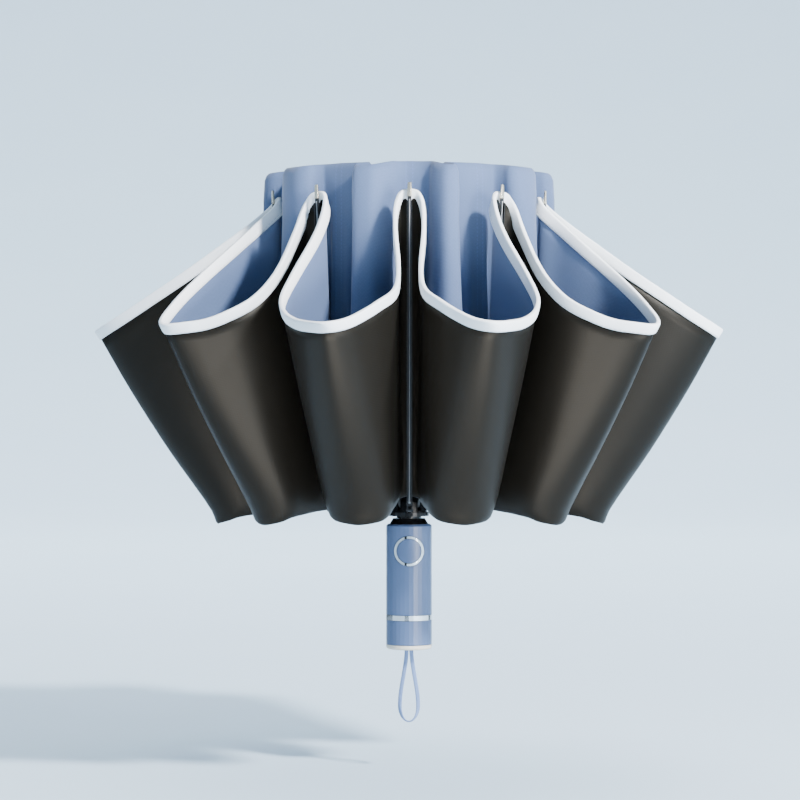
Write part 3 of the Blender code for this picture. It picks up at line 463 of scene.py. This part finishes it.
canopy = {
    "across": 4,                                        # pieces between two shape points round the canopy
    "thickness": 0.4,
    "rimRadii": (101.0, 98.5, 91.5, 97.0, 101.0, 101.0, 101.0, 97.0, 91.5, 98.5),   # at each rib
    "rimHeight": 304.6,
    "hem": 3.2,                                         # from the rim to the last ring inside it
    "foldRib": (85.8, 111.0),
    "foldFollows": 0.1,                                 # share of the rim's step in that the fold follows
    "foldRise": 9.0,                                    # of the outer ring above the fold's lowest ring
    "collarRib": (78.5, 319.5),
    # width of the rim's arch at each rib, and by rib and side where one side is wider
    "archWidths": (1.0, 0.72, 0.78, 0.85, 0.75, 0.90, 0.75, 0.85, 0.78, 0.78),
    "wideArches": {(1, -1): 1.25, (9, 1): 1.25},
    # places of the rings between the collar and the fold, and between the fold and the rim
    "wallShares": (0.14, 0.38, 0.62, 0.84), "wallCurve": 1.8,
    "lobeShares": (0.33, 0.67), "bulge": 2.5,
}

# rings beside the collar's and the fold's outer ring: how far in and up at a rib and at a lobe's middle
besideRings = {
    "collarTop": ((2.4, 2.4), (5.0, 4.4)),
    "collarIn": ((6.5, 4.8), (-0.4, -1.0)),
    "foldLow": ((2.6, 4.2), (-4.0, -9.0)),
    "foldIn": ((5.3, 8.5), (1.5, 2.0)),
}

# share of the way out, distance from the rib's plane in mm or share of the half pitch, share of the drop
rimRows = (
    (0.000, 0.0, None, 0.000), (0.012, 5.6, None, 0.018), (0.045, 8.6, None, 0.100),
    (0.130, 9.2, None, 0.290), (0.364, 8.2, None, 0.607), (0.573, 13.0, None, 0.803),
    (0.727, None, 0.555, 0.907), (0.820, None, 0.380, 0.962), (0.930, None, 0.190, 0.989),
    (1.0, None, 0.0, 1.0),
)
# the same for the lobes at the two sides, whose rim runs out straighter
straightRows = (
    (0.000, 0.0, None, 0.000), (0.012, 4.0, None, 0.014), (0.050, 6.4, None, 0.075),
    (0.150, 8.0, None, 0.190), (0.320, 13.0, None, 0.365), (0.520, None, 0.64, 0.565),
    (0.700, None, 0.50, 0.735), (0.840, None, 0.35, 0.865), (0.950, None, 0.19, 0.960),
    (1.0, None, 0.0, 1.0),
)
straightRibs = (2, 3, 7, 8)                             # counted from 0 at the front
narrowRows = 4                                          # rows that a rib's arch width narrows fully
# towards the front rib the rim falls more slowly
frontDrops = {4: 0.59, 5: 0.752, 6: 0.838, 7: 0.910, 8: 0.974}
# share of the way out, share of the half pitch, share of the drop
foldRows = (
    (0.00, 1.00, 0.00), (0.02, 0.90, 0.03), (0.05, 0.81, 0.08), (0.15, 0.76, 0.22), (0.29, 0.71, 0.39),
    (0.46, 0.66, 0.58), (0.65, 0.60, 0.78), (0.82, 0.47, 0.90), (0.95, 0.25, 0.975), (1.00, 0.00, 1.00),
)

# sides of a collar pleat: its foot's width as a share of the pleat's, how far the foot lies out, then the
# share of the way out and of the pleat's width at its last four rows
pleatSides = {
    "round": {"foot": 1.18, "lift": 2.0, "outs": (0.30, 0.66, 0.93, 1.0), "widths": (1.04, 1.0, 0.62, 0.0)},
    "sharp": {"foot": 0.62, "lift": 1.0, "outs": (0.24, 0.66, 0.95, 1.0), "widths": (0.78, 1.04, 0.86, 0.0)},
    "slack": {"foot": 1.90, "lift": 4.0, "outs": (0.34, 0.70, 0.93, 1.0), "widths": (1.45, 0.95, 0.48, 0.0)},
}
footRows = 6                                            # rows of a pleat's foot, before those last four
pleatDips = (0.8, 2.0, 2.8, 3.0)                        # of the collar's edge at the last four rows
roundDip = 0.55                                         # how much of that a round pleat dips


def polar(radius, angle, height):
    return Vector((radius * math.cos(angle), radius * math.sin(angle), height)) * mm


# walks round the ring: each lobe from its first rib to its middle and on towards the next rib
def ringOf(place):
    points = []
    for index, lobe in enumerate(lobes):
        middle = frontLobe + 2 * halfPitch * index
        for row in range(pointsToMiddle + 1):
            radius, share, height, lean = place(lobe, row, index, -1)
            points.append(polar(radius, middle - share * halfPitch + math.radians(lean), height))
        for row in range(pointsToMiddle - 1, 0, -1):
            radius, share, height, lean = place(lobe, row, (index + 1) % ribCount, 1)
            points.append(polar(radius, middle + share * halfPitch + math.radians(lean), height))
    return points


def rimPlace(lobe, row, rib, side):
    reach, lobeHeight, lean = lobe["rim"]
    out, away, share, drop = (straightRows if rib in straightRibs else rimRows)[row]
    if rib == 0:
        drop = frontDrops.get(row, drop)
    ribRadius, ribHeight = canopy["rimRadii"][rib], canopy["rimHeight"]
    radius = ribRadius + out * (reach - ribRadius)
    if share is None:
        arch = canopy["wideArches"].get((rib, side), canopy["archWidths"][rib])
        if row < narrowRows:
            away *= arch
        elif row == narrowRows:
            away *= arch ** 0.5
        share = 1 - math.asin(away / radius) / halfPitch
    return radius, share, ribHeight + drop * (lobeHeight - ribHeight), lean * out ** 2


def foldPlace(lobe, row, rib, side):
    reach, lobeHeight, lean = lobe["fold"]
    out, share, drop = foldRows[row]
    ribRadius, ribHeight = canopy["foldRib"]
    ribRadius -= canopy["foldFollows"] * (canopy["rimRadii"][0] - canopy["rimRadii"][rib])
    radius = ribRadius + out * (reach - ribRadius)
    return radius, share, ribHeight + drop * (lobeHeight + canopy["foldRise"] - ribHeight), lean * out ** 1.5


def collarPlace(lobe, row, rib, side):
    reach, width, lean, sharpSide = lobe["pleat"]
    ribRadius, ribHeight = canopy["collarRib"]
    kind = "round" if sharpSide == 0 else ("sharp" if side == sharpSide else "slack")
    pleat = pleatSides[kind]
    dip = 0.0
    if row < footRows:
        along = row / (footRows - 1)
        share = 1 + (width * pleat["foot"] - 1) * along
        radius = ribRadius + pleat["lift"] * along ** 2
    else:
        last = row - footRows
        share = width * pleat["widths"][last]
        radius = ribRadius + pleat["lift"] + pleat["outs"][last] * (reach - ribRadius - pleat["lift"])
        dip = pleatDips[last] * (roundDip if kind == "round" else 1.0)
    return radius, share, ribHeight - dip, lean * min(1.0, row / footRows) ** 2


# 0 at a rib and 1 at a lobe's middle
def lobeShare(index):
    row = index % pointsPerLobe
    return (row if row <= pointsToMiddle else pointsPerLobe - row) / pointsToMiddle


# the ring moved in at right angles to itself, level, and up: in mm at a rib and at a lobe's middle
def movedIn(ring, inward, upward=(0, 0), power=1):
    count = len(ring)
    moved = []
    for index, point in enumerate(ring):
        run = ring[(index + 1) % count] - ring[index - 1]
        level = Vector((-run.y, run.x, 0)).normalized()
        share = lobeShare(index) ** power
        distance = (inward[0] + (inward[1] - inward[0]) * share) * mm
        lift = (upward[0] + (upward[1] - upward[0]) * share) * mm
        moved.append(point + distance * level + Vector((0, 0, lift)))
    return moved


# soft rings of the bowl inside the collar: radius and height at a rib and at a lobe's middle,
# and how far the tuck between them goes in
bowlRings = (
    ((8.3, 234.6), (8.3, 234.6), 0.0),
    ((11.6, 233.7), (11.6, 233.7), 0.0),
    ((14.3, 229.0), (14.5, 229.0), 0.0),
    ((16.6, 212.0), (18.0, 208.0), 0.0),
    ((19.8, 196.0), (25.0, 184.0), 1.5),
    ((25.2, 181.5), (36.0, 158.0), 4.0),
    ((31.0, 192.0), (52.0, 172.0), 8.0),
    ((46.5, 246.0), (68.0, 232.0), 15.0),
    ((57.0, 299.0), (80.0, 290.0), 15.0),
)
bowlTuck = {"at": 0.42, "halfWidth": 0.32, "sharpness": 1.5}       # at and width as shares of the half pitch


# 1 in the middle of a tuck between a rib and a lobe's middle, 0 beside it
def tuckShare(index):
    beside = (lobeShare(index) - bowlTuck["at"]) / bowlTuck["halfWidth"]
    return max(0.0, 1 - beside ** 2) ** bowlTuck["sharpness"]


def bowlRing(rib, lobe, tuck):
    points = []
    for index in range(pointsPerLobe * ribCount):
        wave = smoothStep(lobeShare(index))
        angle = frontLobe - halfPitch + 2 * halfPitch * index / pointsPerLobe
        radius = rib[0] + (lobe[0] - rib[0]) * wave - tuck * tuckShare(index)
        points.append(polar(radius, angle, rib[1] + (lobe[1] - rib[1]) * wave))
    return points


# spare cloth tucked in beside each rib: radius and share of the half pitch of the tuck's three points
tuckPoints = {3: (62.0, 0.66), 4: (40.0, 0.52), 5: (60.0, 0.50)}
lowTuck = 0.35                                          # how much of the tuck the fold's lowest ring takes


def tuckedIn(ring, depth):
    tucked = []
    for index, point in enumerate(ring):
        row = index % pointsPerLobe
        side = -1 if row <= pointsToMiddle else 1
        row = row if row <= pointsToMiddle else pointsPerLobe - row
        if row in tuckPoints:
            radius, share = tuckPoints[row]
            middle = frontLobe + 2 * halfPitch * (index // pointsPerLobe)
            target = polar(radius, middle + side * share * halfPitch, point.z / mm)
            point = point.lerp(target, depth)
        tucked.append(point)
    return tucked


def blendRings(first, second, share, heightShare):
    result = []
    for low, high in zip(first, second):
        point = low.lerp(high, share)
        point.z = low.z + (high.z - low.z) * heightShare
        result.append(point)
    return result


# all rings that the sheet is drawn through, from the crown to the rim, with the fold's and the rim's
def keyRings(shape):
    collarOut = ringOf(collarPlace)
    collarTop = movedIn(collarOut, *besideRings["collarTop"])
    collarIn = movedIn(collarOut, *besideRings["collarIn"])
    foldOut = ringOf(foldPlace)
    foldLow = tuckedIn(movedIn(foldOut, *besideRings["foldLow"]), lowTuck)
    foldIn = tuckedIn(movedIn(foldOut, *besideRings["foldIn"]), 1.0)
    rim = ringOf(rimPlace)
    rings = [bowlRing(*ring) for ring in bowlRings] + [collarIn, collarTop, collarOut]
    for share in shape["wallShares"]:
        rings.append(blendRings(collarOut, foldIn, share ** shape["wallCurve"], share))
    rings += [foldIn, foldLow, foldOut]
    for share in shape["lobeShares"]:
        rings.append(movedIn(blendRings(foldOut, rim, share, share), (0, -shape["bulge"]), power=2))
    rings.append([edge + shape["hem"] * mm * (low - edge).normalized() for low, edge in zip(foldOut, rim)])
    return rings, foldOut, rim


# pieces between each two of those rings
alongSteps = (1, 1, 1, 1, 3, 3, 4, 3, 2, 2, 2, 2, 3, 3, 3, 2, 3, 3, 4, 4, 4)


def makeCanopy(shape):
    rings, foldOut, rim = keyRings(shape)
    columns = list(zip(*[curveThrough(ring, shape["across"], closed=True) for ring in rings]))
    lines = [curveThrough(list(column), alongSteps) for column in columns]
    bm = bmesh.new()
    weave = bm.loops.layers.uv.new("weave")
    seam = bm.loops.layers.uv.new("seam")
    verts = [[bm.verts.new(point) for point in line] for line in lines]
    perLobe = pointsPerLobe * shape["across"]
    count, rows = len(lines), len(lines[0])
    down = [[0.0] for line in lines]                    # way along each line, from the crown
    for line, lengths in zip(lines, down):
        for here, after in zip(line, line[1:]):
            lengths.append(lengths[-1] + (after - here).length)
    for start in range(0, count, perLobe):
        around = [[0.0] for row in range(rows)]         # way round each row, from the lobe's first rib
        for step in range(perLobe):
            here, after = lines[start + step], lines[(start + step + 1) % count]
            for row in range(rows):
                around[row].append(around[row][-1] + (after[row] - here[row]).length)
        for step in range(perLobe):
            for row in range(rows - 1):
                places = ((step, row), (step, row + 1), (step + 1, row + 1), (step + 1, row))
                face = bm.faces.new([verts[(start + column) % count][level] for column, level in places])
                for loop, (column, level) in zip(face.loops, places):
                    run, whole = around[level][column], around[level][-1]
                    length = down[(start + column) % count][level]
                    loop[weave].uv = (run - whole / 2, length)
                    loop[seam].uv = (min(run, whole - run), length)
    mesh = meshOf(bm, "canopySheet", sharpAngle=80)
    piece = addPiece("canopySheet", mesh, blueCloth, "shaft_top")
    piece.data.materials.append(blackCoating)
    thicken = piece.modifiers.new("thickness", "SOLIDIFY")
    thicken.thickness = shape["thickness"] * mm
    thicken.offset = 0
    thicken.material_offset = 1
    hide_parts("canopy")
    return piece, foldOut, rim


canopySheet, foldRing, rimRing = makeCanopy(canopy)
print("canopy draped")


# white binding round the rim; wider towards each rib, with the cloth's edge just inside its own
binding = {
    "width": 7.2, "widerAtRibs": 3.6, "narrowing": 4, "thickness": 3.0, "overlap": 0.96,
    "sides": 14, "roundness": 5.0,
}


def makeBinding(shape):
    outer = curveThrough(rimRing, canopy["across"], closed=True)
    inner = curveThrough(foldRing, canopy["across"], closed=True)
    count, sides = len(outer), shape["sides"]
    thin = shape["thickness"] * mm / 2
    halves = []
    for index in range(count):
        nearRib = 1 - lobeShare(index / canopy["across"])
        halves.append((shape["width"] + shape["widerAtRibs"] * nearRib ** shape["narrowing"]) * mm / 2)
    section = []
    for side in range(sides):
        angle = math.tau * (side + 0.5) / sides
        across, out = math.cos(angle), math.sin(angle)
        section.append((
            math.copysign(abs(across) ** (2 / shape["roundness"]), across),
            math.copysign(abs(out) ** (2 / shape["roundness"]), out),
        ))
    bm = bmesh.new()
    tape = bm.loops.layers.uv.new("tape")
    rows = []
    travel = [0.0]
    for index, half in enumerate(halves):
        run = (outer[(index + 1) % count] - outer[index - 1]).normalized()
        fall = (inner[index] - outer[index]).normalized()
        face = run.cross(fall).normalized()
        fall = face.cross(run).normalized()
        centre = outer[index] + fall * half * shape["overlap"]
        rows.append([bm.verts.new(centre + fall * half * x + face * thin * y) for x, y in section])
        travel.append(travel[-1] + (outer[(index + 1) % count] - outer[index]).length)
    for index in range(count):
        for side in range(sides):
            following = (side + 1) % sides
            places = ((index, side), (index, following), (index + 1, following), (index + 1, side))
            face = bm.faces.new([rows[row % count][column] for row, column in places])
            for loop, (row, column) in zip(face.loops, places):
                loop[tape].uv = (travel[row], (section[column][0] + 1) * halves[row % count])
    bmesh.ops.recalc_face_normals(bm, faces=bm.faces)
    mesh = meshOf(bm, "canopyTrim", sharpAngle=70)
    piece = addPiece("canopyTrim", mesh, whiteTape, "shaft_top")
    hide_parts("canopy_trim")
    return piece


canopyTrim = makeBinding(binding)
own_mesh(canopySheet)
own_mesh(canopyTrim)
print("binding sewn on")


# outer ribs: an open channel with a wire in it, and a slim pale tip; along is measured from the hinge
outerRib = {
    "hinge": (88.0, 98.0), "tipOut": 4.5, "tipHeight": 312.5,
    "halfWidth": 1.7, "wall": 0.5, "depth": 1.5, "corner": 0.3, "belowHinge": 2.0,
    "webFrom": 2.6, "hole": 0.9, "holeSteps": 20, "channelEnd": 199.5,
    "neckFrom": 197.5, "neckEnd": 203.0, "neckWidth": 2.4, "neckThickness": 1.2,
}
ribWire = {
    "radius": 0.42, "from": 4.2, "to": 200.5, "out": 0.55, "sides": 12,
    "foot": ((0.8, 0.0), (1.0, 0.4), (0.9, 1.6), (0.546, 5.4)), "footEnd": 9.0,        # radius and way up
}
ribTip = {"from": 202.2, "to": 211.2, "width": 3.2, "thickness": 1.7, "taper": (0.8, 0.72), "round": 0.5}


def ribPlace(shape, number):
    hinge = Vector(shape["hinge"])
    tipRadius = canopy["rimRadii"][number - 1] + shape["tipOut"]
    lean = math.atan2(tipRadius - hinge.x, shape["tipHeight"] - hinge.y)
    turn = Matrix.Rotation(2 * halfPitch * (number - 1) - math.pi / 2, 4, "Z")
    return turn @ Matrix.Translation(Vector((hinge.x, 0, hinge.y)) * mm) @ Matrix.Rotation(lean, 4, "Y")


# a flat outline in the plane across the rib, drawn out along the rib
def drawnOut(bm, outline, start, end):
    face = bm.faces.new([bm.verts.new((out * mm, across * mm, start * mm)) for across, out in outline])
    grown = bmesh.ops.extrude_face_region(bm, geom=[face])
    far = [part for part in grown["geom"] if isinstance(part, bmesh.types.BMVert)]
    bmesh.ops.translate(bm, verts=far, vec=(0, 0, (end - start) * mm))
    return far


# one flange's end round the rivet hole
def addFlangeEnd(bm, shape, side):
    steps = shape["holeSteps"]
    rings = [[], []]
    for step in range(steps):
        angle = math.tau * step / steps
        along, out = math.cos(angle), math.sin(angle)
        if along < 0:
            reach = 1 / math.hypot(along / shape["belowHinge"], out / shape["depth"])
        else:
            reach = min(shape["webFrom"] / max(along, 1e-6), shape["depth"] / max(abs(out), 1e-6))
        for ring, radius in zip(rings, (shape["hole"], reach)):
            place = Vector((out * radius, side * shape["halfWidth"], along * radius)) * mm
            ring.append(bm.verts.new(place))
    edges = []
    for ring in rings:
        edges += [bm.edges.new((ring[step - 1], ring[step])) for step in range(steps)]
    faces = bmesh.ops.bridge_loops(bm, edges=edges)["faces"]
    grown = bmesh.ops.extrude_face_region(bm, geom=faces)
    far = [part for part in grown["geom"] if isinstance(part, bmesh.types.BMVert)]
    bmesh.ops.translate(bm, verts=far, vec=(0, -side * shape["wall"] * mm, 0))


# outline of a flat bar across the rib
def flatBar(width, thickness):
    half, thin = width / 2, thickness / 2
    return ((-half, -thin), (half, -thin), (half, thin), (-half, thin))


def makeOuterRibs(shape, wire, tip):
    half, wall, depth, corner = shape["halfWidth"], shape["wall"], shape["depth"], shape["corner"]
    inner = half - wall
    channel = (
        (-half, depth), (-half, corner - depth), (corner - half, -depth), (half - corner, -depth),
        (half, corner - depth), (half, depth), (inner, depth), (inner, wall - depth), (-inner, wall - depth),
        (-inner, depth),
    )
    neck = flatBar(shape["neckWidth"], shape["neckThickness"])
    wireLine = [(0, wire["from"])]
    wireLine += [(radius, wire["from"] + up) for radius, up in wire["foot"]]
    wireLine += [(wire["radius"], wire["from"] + wire["footEnd"]), (wire["radius"], wire["to"])]
    wireLine.append((0, wire["to"]))
    tipLine = flatBar(tip["width"], tip["thickness"])
    for number in range(1, ribCount + 1):
        place = ribPlace(shape, number)
        body = f"outer_rib_{number:02d}"
        bm = bmesh.new()
        drawnOut(bm, channel, shape["webFrom"], shape["channelEnd"])
        drawnOut(bm, neck, shape["neckFrom"], shape["neckEnd"])
        for side in (-1, 1):
            addFlangeEnd(bm, shape, side)
        bmesh.ops.recalc_face_normals(bm, faces=bm.faces)
        bmesh.ops.transform(bm, matrix=place, verts=bm.verts)
        mesh = meshOf(bm, "outerRib", sharpAngle=30)
        rib = addPiece(f"outerRib_{number:02d}", mesh, ribLacquer, body)
        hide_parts(body)

        bm = spinShape(wireLine, wire["sides"])
        bmesh.ops.translate(bm, verts=bm.verts, vec=(wire["out"] * mm, 0, 0))
        bmesh.ops.transform(bm, matrix=place, verts=bm.verts)
        mesh = meshOf(bm, "ribWire", sharpAngle=40)
        addPiece(f"ribWire_{number:02d}", mesh, wireSteel, body)

        bm = bmesh.new()
        far = drawnOut(bm, tipLine, tip["from"], tip["to"])
        bmesh.ops.scale(bm, verts=far, vec=(*tip["taper"], 1))
        bmesh.ops.recalc_face_normals(bm, faces=bm.faces)
        bmesh.ops.bevel(bm, geom=bm.edges[:], offset=tip["round"] * mm, offset_type="OFFSET", segments=3,
                        profile=0.5, affect="EDGES", material=-1, clamp_overlap=True)
        bmesh.ops.transform(bm, matrix=place, verts=bm.verts)
        mesh = meshOf(bm, "ribTip", sharpAngle=40)
        addPiece(f"ribTip_{number:02d}", mesh, tipMetal, body)


makeOuterRibs(outerRib, ribWire, ribTip)
print("outer ribs set")


# the button's coil spring
spring = {
    "radius": 2.4, "wire": 0.2, "wireSides": 8, "turns": 5, "front": -12.2, "back": -7.6, "height": 70.8,
    "travel": 2.0, "steps": 24,
}


def makeSpring(shape):
    length = shape["back"] - shape["front"]
    steps = shape["turns"] * shape["steps"]
    bm = bmesh.new()
    start = Matrix.Translation(Vector((shape["radius"], shape["front"], shape["height"])) * mm)
    bmesh.ops.create_circle(bm, cap_ends=True, radius=shape["wire"] * mm, segments=shape["wireSides"],
                            matrix=start)
    bmesh.ops.spin(
        bm, geom=bm.verts[:] + bm.edges[:] + bm.faces[:], cent=(0, 0, shape["height"] * mm), axis=(0, 1, 0),
        dvec=(0, length / steps * mm, 0), angle=math.tau * shape["turns"], steps=steps,
    )
    bmesh.ops.recalc_face_normals(bm, faces=bm.faces)
    mesh = meshOf(bm, "buttonSpring", sharpAngle=60)
    piece = addPiece("buttonSpring", mesh, brightSteel, "handle")
    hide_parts("button_spring")
    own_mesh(piece)


makeSpring(spring)
print("spring coiled")


# finishes on the pieces that stay as they are
finishes = {
    "grip_shell": gripPaint, "grip_base": gripPaint, "push_button": gripPaint, "crown_cap": gripPaint,
    "grip_band": chrome, "button_bezel": chrome, "end_cap": creamPlastic, "strap_anchor": creamPlastic,
    "shaft_holder": hubPlastic, "handle_collar": hubPlastic, "runner": hubPlastic, "crown": hubPlastic,
    "inner_tube": brightSteel, "middle_tube": brightSteel, "outer_tube": brightSteel,
    "latch_plate": brightSteel,
}


def paintNodes():
    for name, node in cadNodes.items():
        numbered = name[-3:-2] == "_" and name[-2:].isdigit()       # the ribs and stretchers
        material = ribLacquer if numbered else finishes.get(name)
        if material is None:
            continue
        node.data.materials.clear()
        node.data.materials.append(material)


paintNodes()
print("frame painted")


# studio: a pale round floor that curves up all round, and soft lights
studio = {"floor": -0.082, "flat": 3.8, "corner": 4.4, "cornerSteps": 16, "wall": 4.8, "steps": 96}
lights = (
    # name, place, aim, size, watts, colour
    ("keyLight", (1.75, -1.70, 1.85), (0.0, 0.0, 0.22), 0.32, 280, (0.98, 0.99, 1.0)),
    ("sideLight", (1.30, -1.55, 0.24), (0.0, 0.0, 0.10), 0.40, 40, (1.0, 0.98, 0.96)),
    ("frontFill", (-1.5, -2.3, 0.8), (0.0, 0.0, 0.20), 1.5, 2.5, (0.96, 0.98, 1.0)),
    ("underLight", (0.0, -0.42, -0.070), (0.0, -0.10, 0.20), 0.55, 12.0, (1.0, 0.95, 0.88)),
    ("backLight", (-0.6, 1.7, 1.9), (0.0, 0.0, 0.20), 1.2, 14, (0.93, 0.96, 1.0)),
    ("floorLight", (0.0, 0.7, 3.2), (0.0, 0.7, -0.08), 2.4, 90, (0.96, 0.98, 1.0)),
)
wallLights = {
    "watts": (330, 330, 275, 50, 60, 190), "reach": 2.6, "height": 3.4, "aim": 6.8, "aimHeight": 0.2,
    "size": 1.6, "colour": (0.92, 0.97, 1.0), "air": (0.80, 0.90, 1.0), "airStrength": 0.10,
}


def makeStudio(shape):
    outline = [(0.0, 0.0), (shape["flat"], 0.0)]
    for step in range(1, shape["cornerSteps"] + 1):
        angle = math.pi / 2 * step / shape["cornerSteps"]
        outline.append((
            shape["flat"] + shape["corner"] * math.sin(angle), shape["corner"] * (1 - math.cos(angle)),
        ))
    outline.append((shape["flat"] + shape["corner"], shape["corner"] + shape["wall"]))
    bm = bmesh.new()
    verts = [bm.verts.new((radius, 0, shape["floor"] + height)) for radius, height in outline]
    edges = [bm.edges.new(pair) for pair in zip(verts, verts[1:])]
    bmesh.ops.spin(bm, geom=verts + edges, cent=(0, 0, 0), axis=(0, 0, 1),
                   angle=math.tau, steps=shape["steps"], use_merge=True)
    bmesh.ops.remove_doubles(bm, verts=bm.verts, dist=0.0001)
    material, tree, shader = startMaterial("studioPaper", Roughness=0.9)
    grain = noiseOf(tree, objectPoints(tree), scale=3, detail=2.0)
    paper = mixColours(tree, grain, (0.50, 0.64, 0.76, 1), (0.54, 0.67, 0.78, 1))
    tree.links.new(paper, shader.inputs["Base Color"])
    mesh = meshOf(bm, "studioFloor", sharpAngle=60)
    mesh.materials.append(material)
    floor = bpy.data.objects.new("studioFloor", mesh)
    bpy.context.scene.collection.objects.link(floor)
    return floor


# dark cards just outside the picture, for the dark reflections in chrome and black plastic
cards = {
    "radius": 0.95, "lift": 0.020, "steps": 8,
    "spans": ((-24, -9.5, 0.26), (-150, -98, 0.36), (112, 136, 0.26)),     # first and last degree, height
}


def makeCards(shape):
    material, tree, shader = startMaterial("cardFelt", Roughness=0.95)
    fuzz = noiseOf(tree, objectPoints(tree), scale=40, detail=3.0)
    felt = mixColours(tree, fuzz, (0.004, 0.004, 0.005, 1), (0.008, 0.008, 0.009, 1))
    tree.links.new(felt, shader.inputs["Base Color"])
    for number, (first, last, height) in enumerate(shape["spans"], start=1):
        bm = bmesh.new()
        verts = []
        for step in range(shape["steps"] + 1):
            angle = math.radians(-90 + first + (last - first) * step / shape["steps"])
            across, away = shape["radius"] * math.cos(angle), shape["radius"] * math.sin(angle)
            verts.append(bm.verts.new((across, away, studio["floor"] + shape["lift"])))
        edges = [bm.edges.new(pair) for pair in zip(verts, verts[1:])]
        grown = bmesh.ops.extrude_edge_only(bm, edges=edges)
        upper = [part for part in grown["geom"] if isinstance(part, bmesh.types.BMVert)]
        bmesh.ops.translate(bm, verts=upper, vec=(0, 0, height))
        mesh = meshOf(bm, f"darkCard{number}", sharpAngle=60)
        mesh.materials.append(material)
        card = bpy.data.objects.new(f"darkCard{number}", mesh)
        card.visible_camera = False
        card.visible_diffuse = False
        card.visible_shadow = False
        bpy.context.scene.collection.objects.link(card)


def makeLight(name, place, aim, size, watts, colour):
    data = bpy.data.lights.new(name, "AREA")
    data.shape = "DISK"
    data.size = size
    data.energy = watts
    data.color = colour
    item = bpy.data.objects.new(name, data)
    item.location = place
    item.rotation_euler = (Vector(aim) - Vector(place)).to_track_quat("-Z", "Y").to_euler()
    item.visible_camera = False
    bpy.context.scene.collection.objects.link(item)
    return item


def makeLights(rows, walls):
    onlyLit = {"underLight": canopySheet, "floorLight": studioFloor}
    for row in rows:
        item = makeLight(*row)
        if row[0] in onlyLit:
            lit = bpy.data.collections.new(row[0] + "Only")
            lit.objects.link(onlyLit[row[0]])
            item.light_linking.receiver_collection = lit
    for index, watts in enumerate(walls["watts"]):
        turn = math.tau * (index + 0.5) / len(walls["watts"])
        out = Vector((math.cos(turn), math.sin(turn), 0))
        makeLight(
            f"wallLight{index + 1}", out * walls["reach"] + Vector((0, 0, walls["height"])),
            out * walls["aim"] + Vector((0, 0, walls["aimHeight"])), walls["size"], watts, walls["colour"],
        )
    world = bpy.data.worlds.new("studioAir")
    world.use_nodes = True
    air = world.node_tree.nodes["Background"]
    air.inputs["Color"].default_value = (*walls["air"], 1)
    air.inputs["Strength"].default_value = walls["airStrength"]
    bpy.context.scene.world = world


studioFloor = makeStudio(studio)
makeCards(cards)
makeLights(lights, wallLights)
print("studio lit")
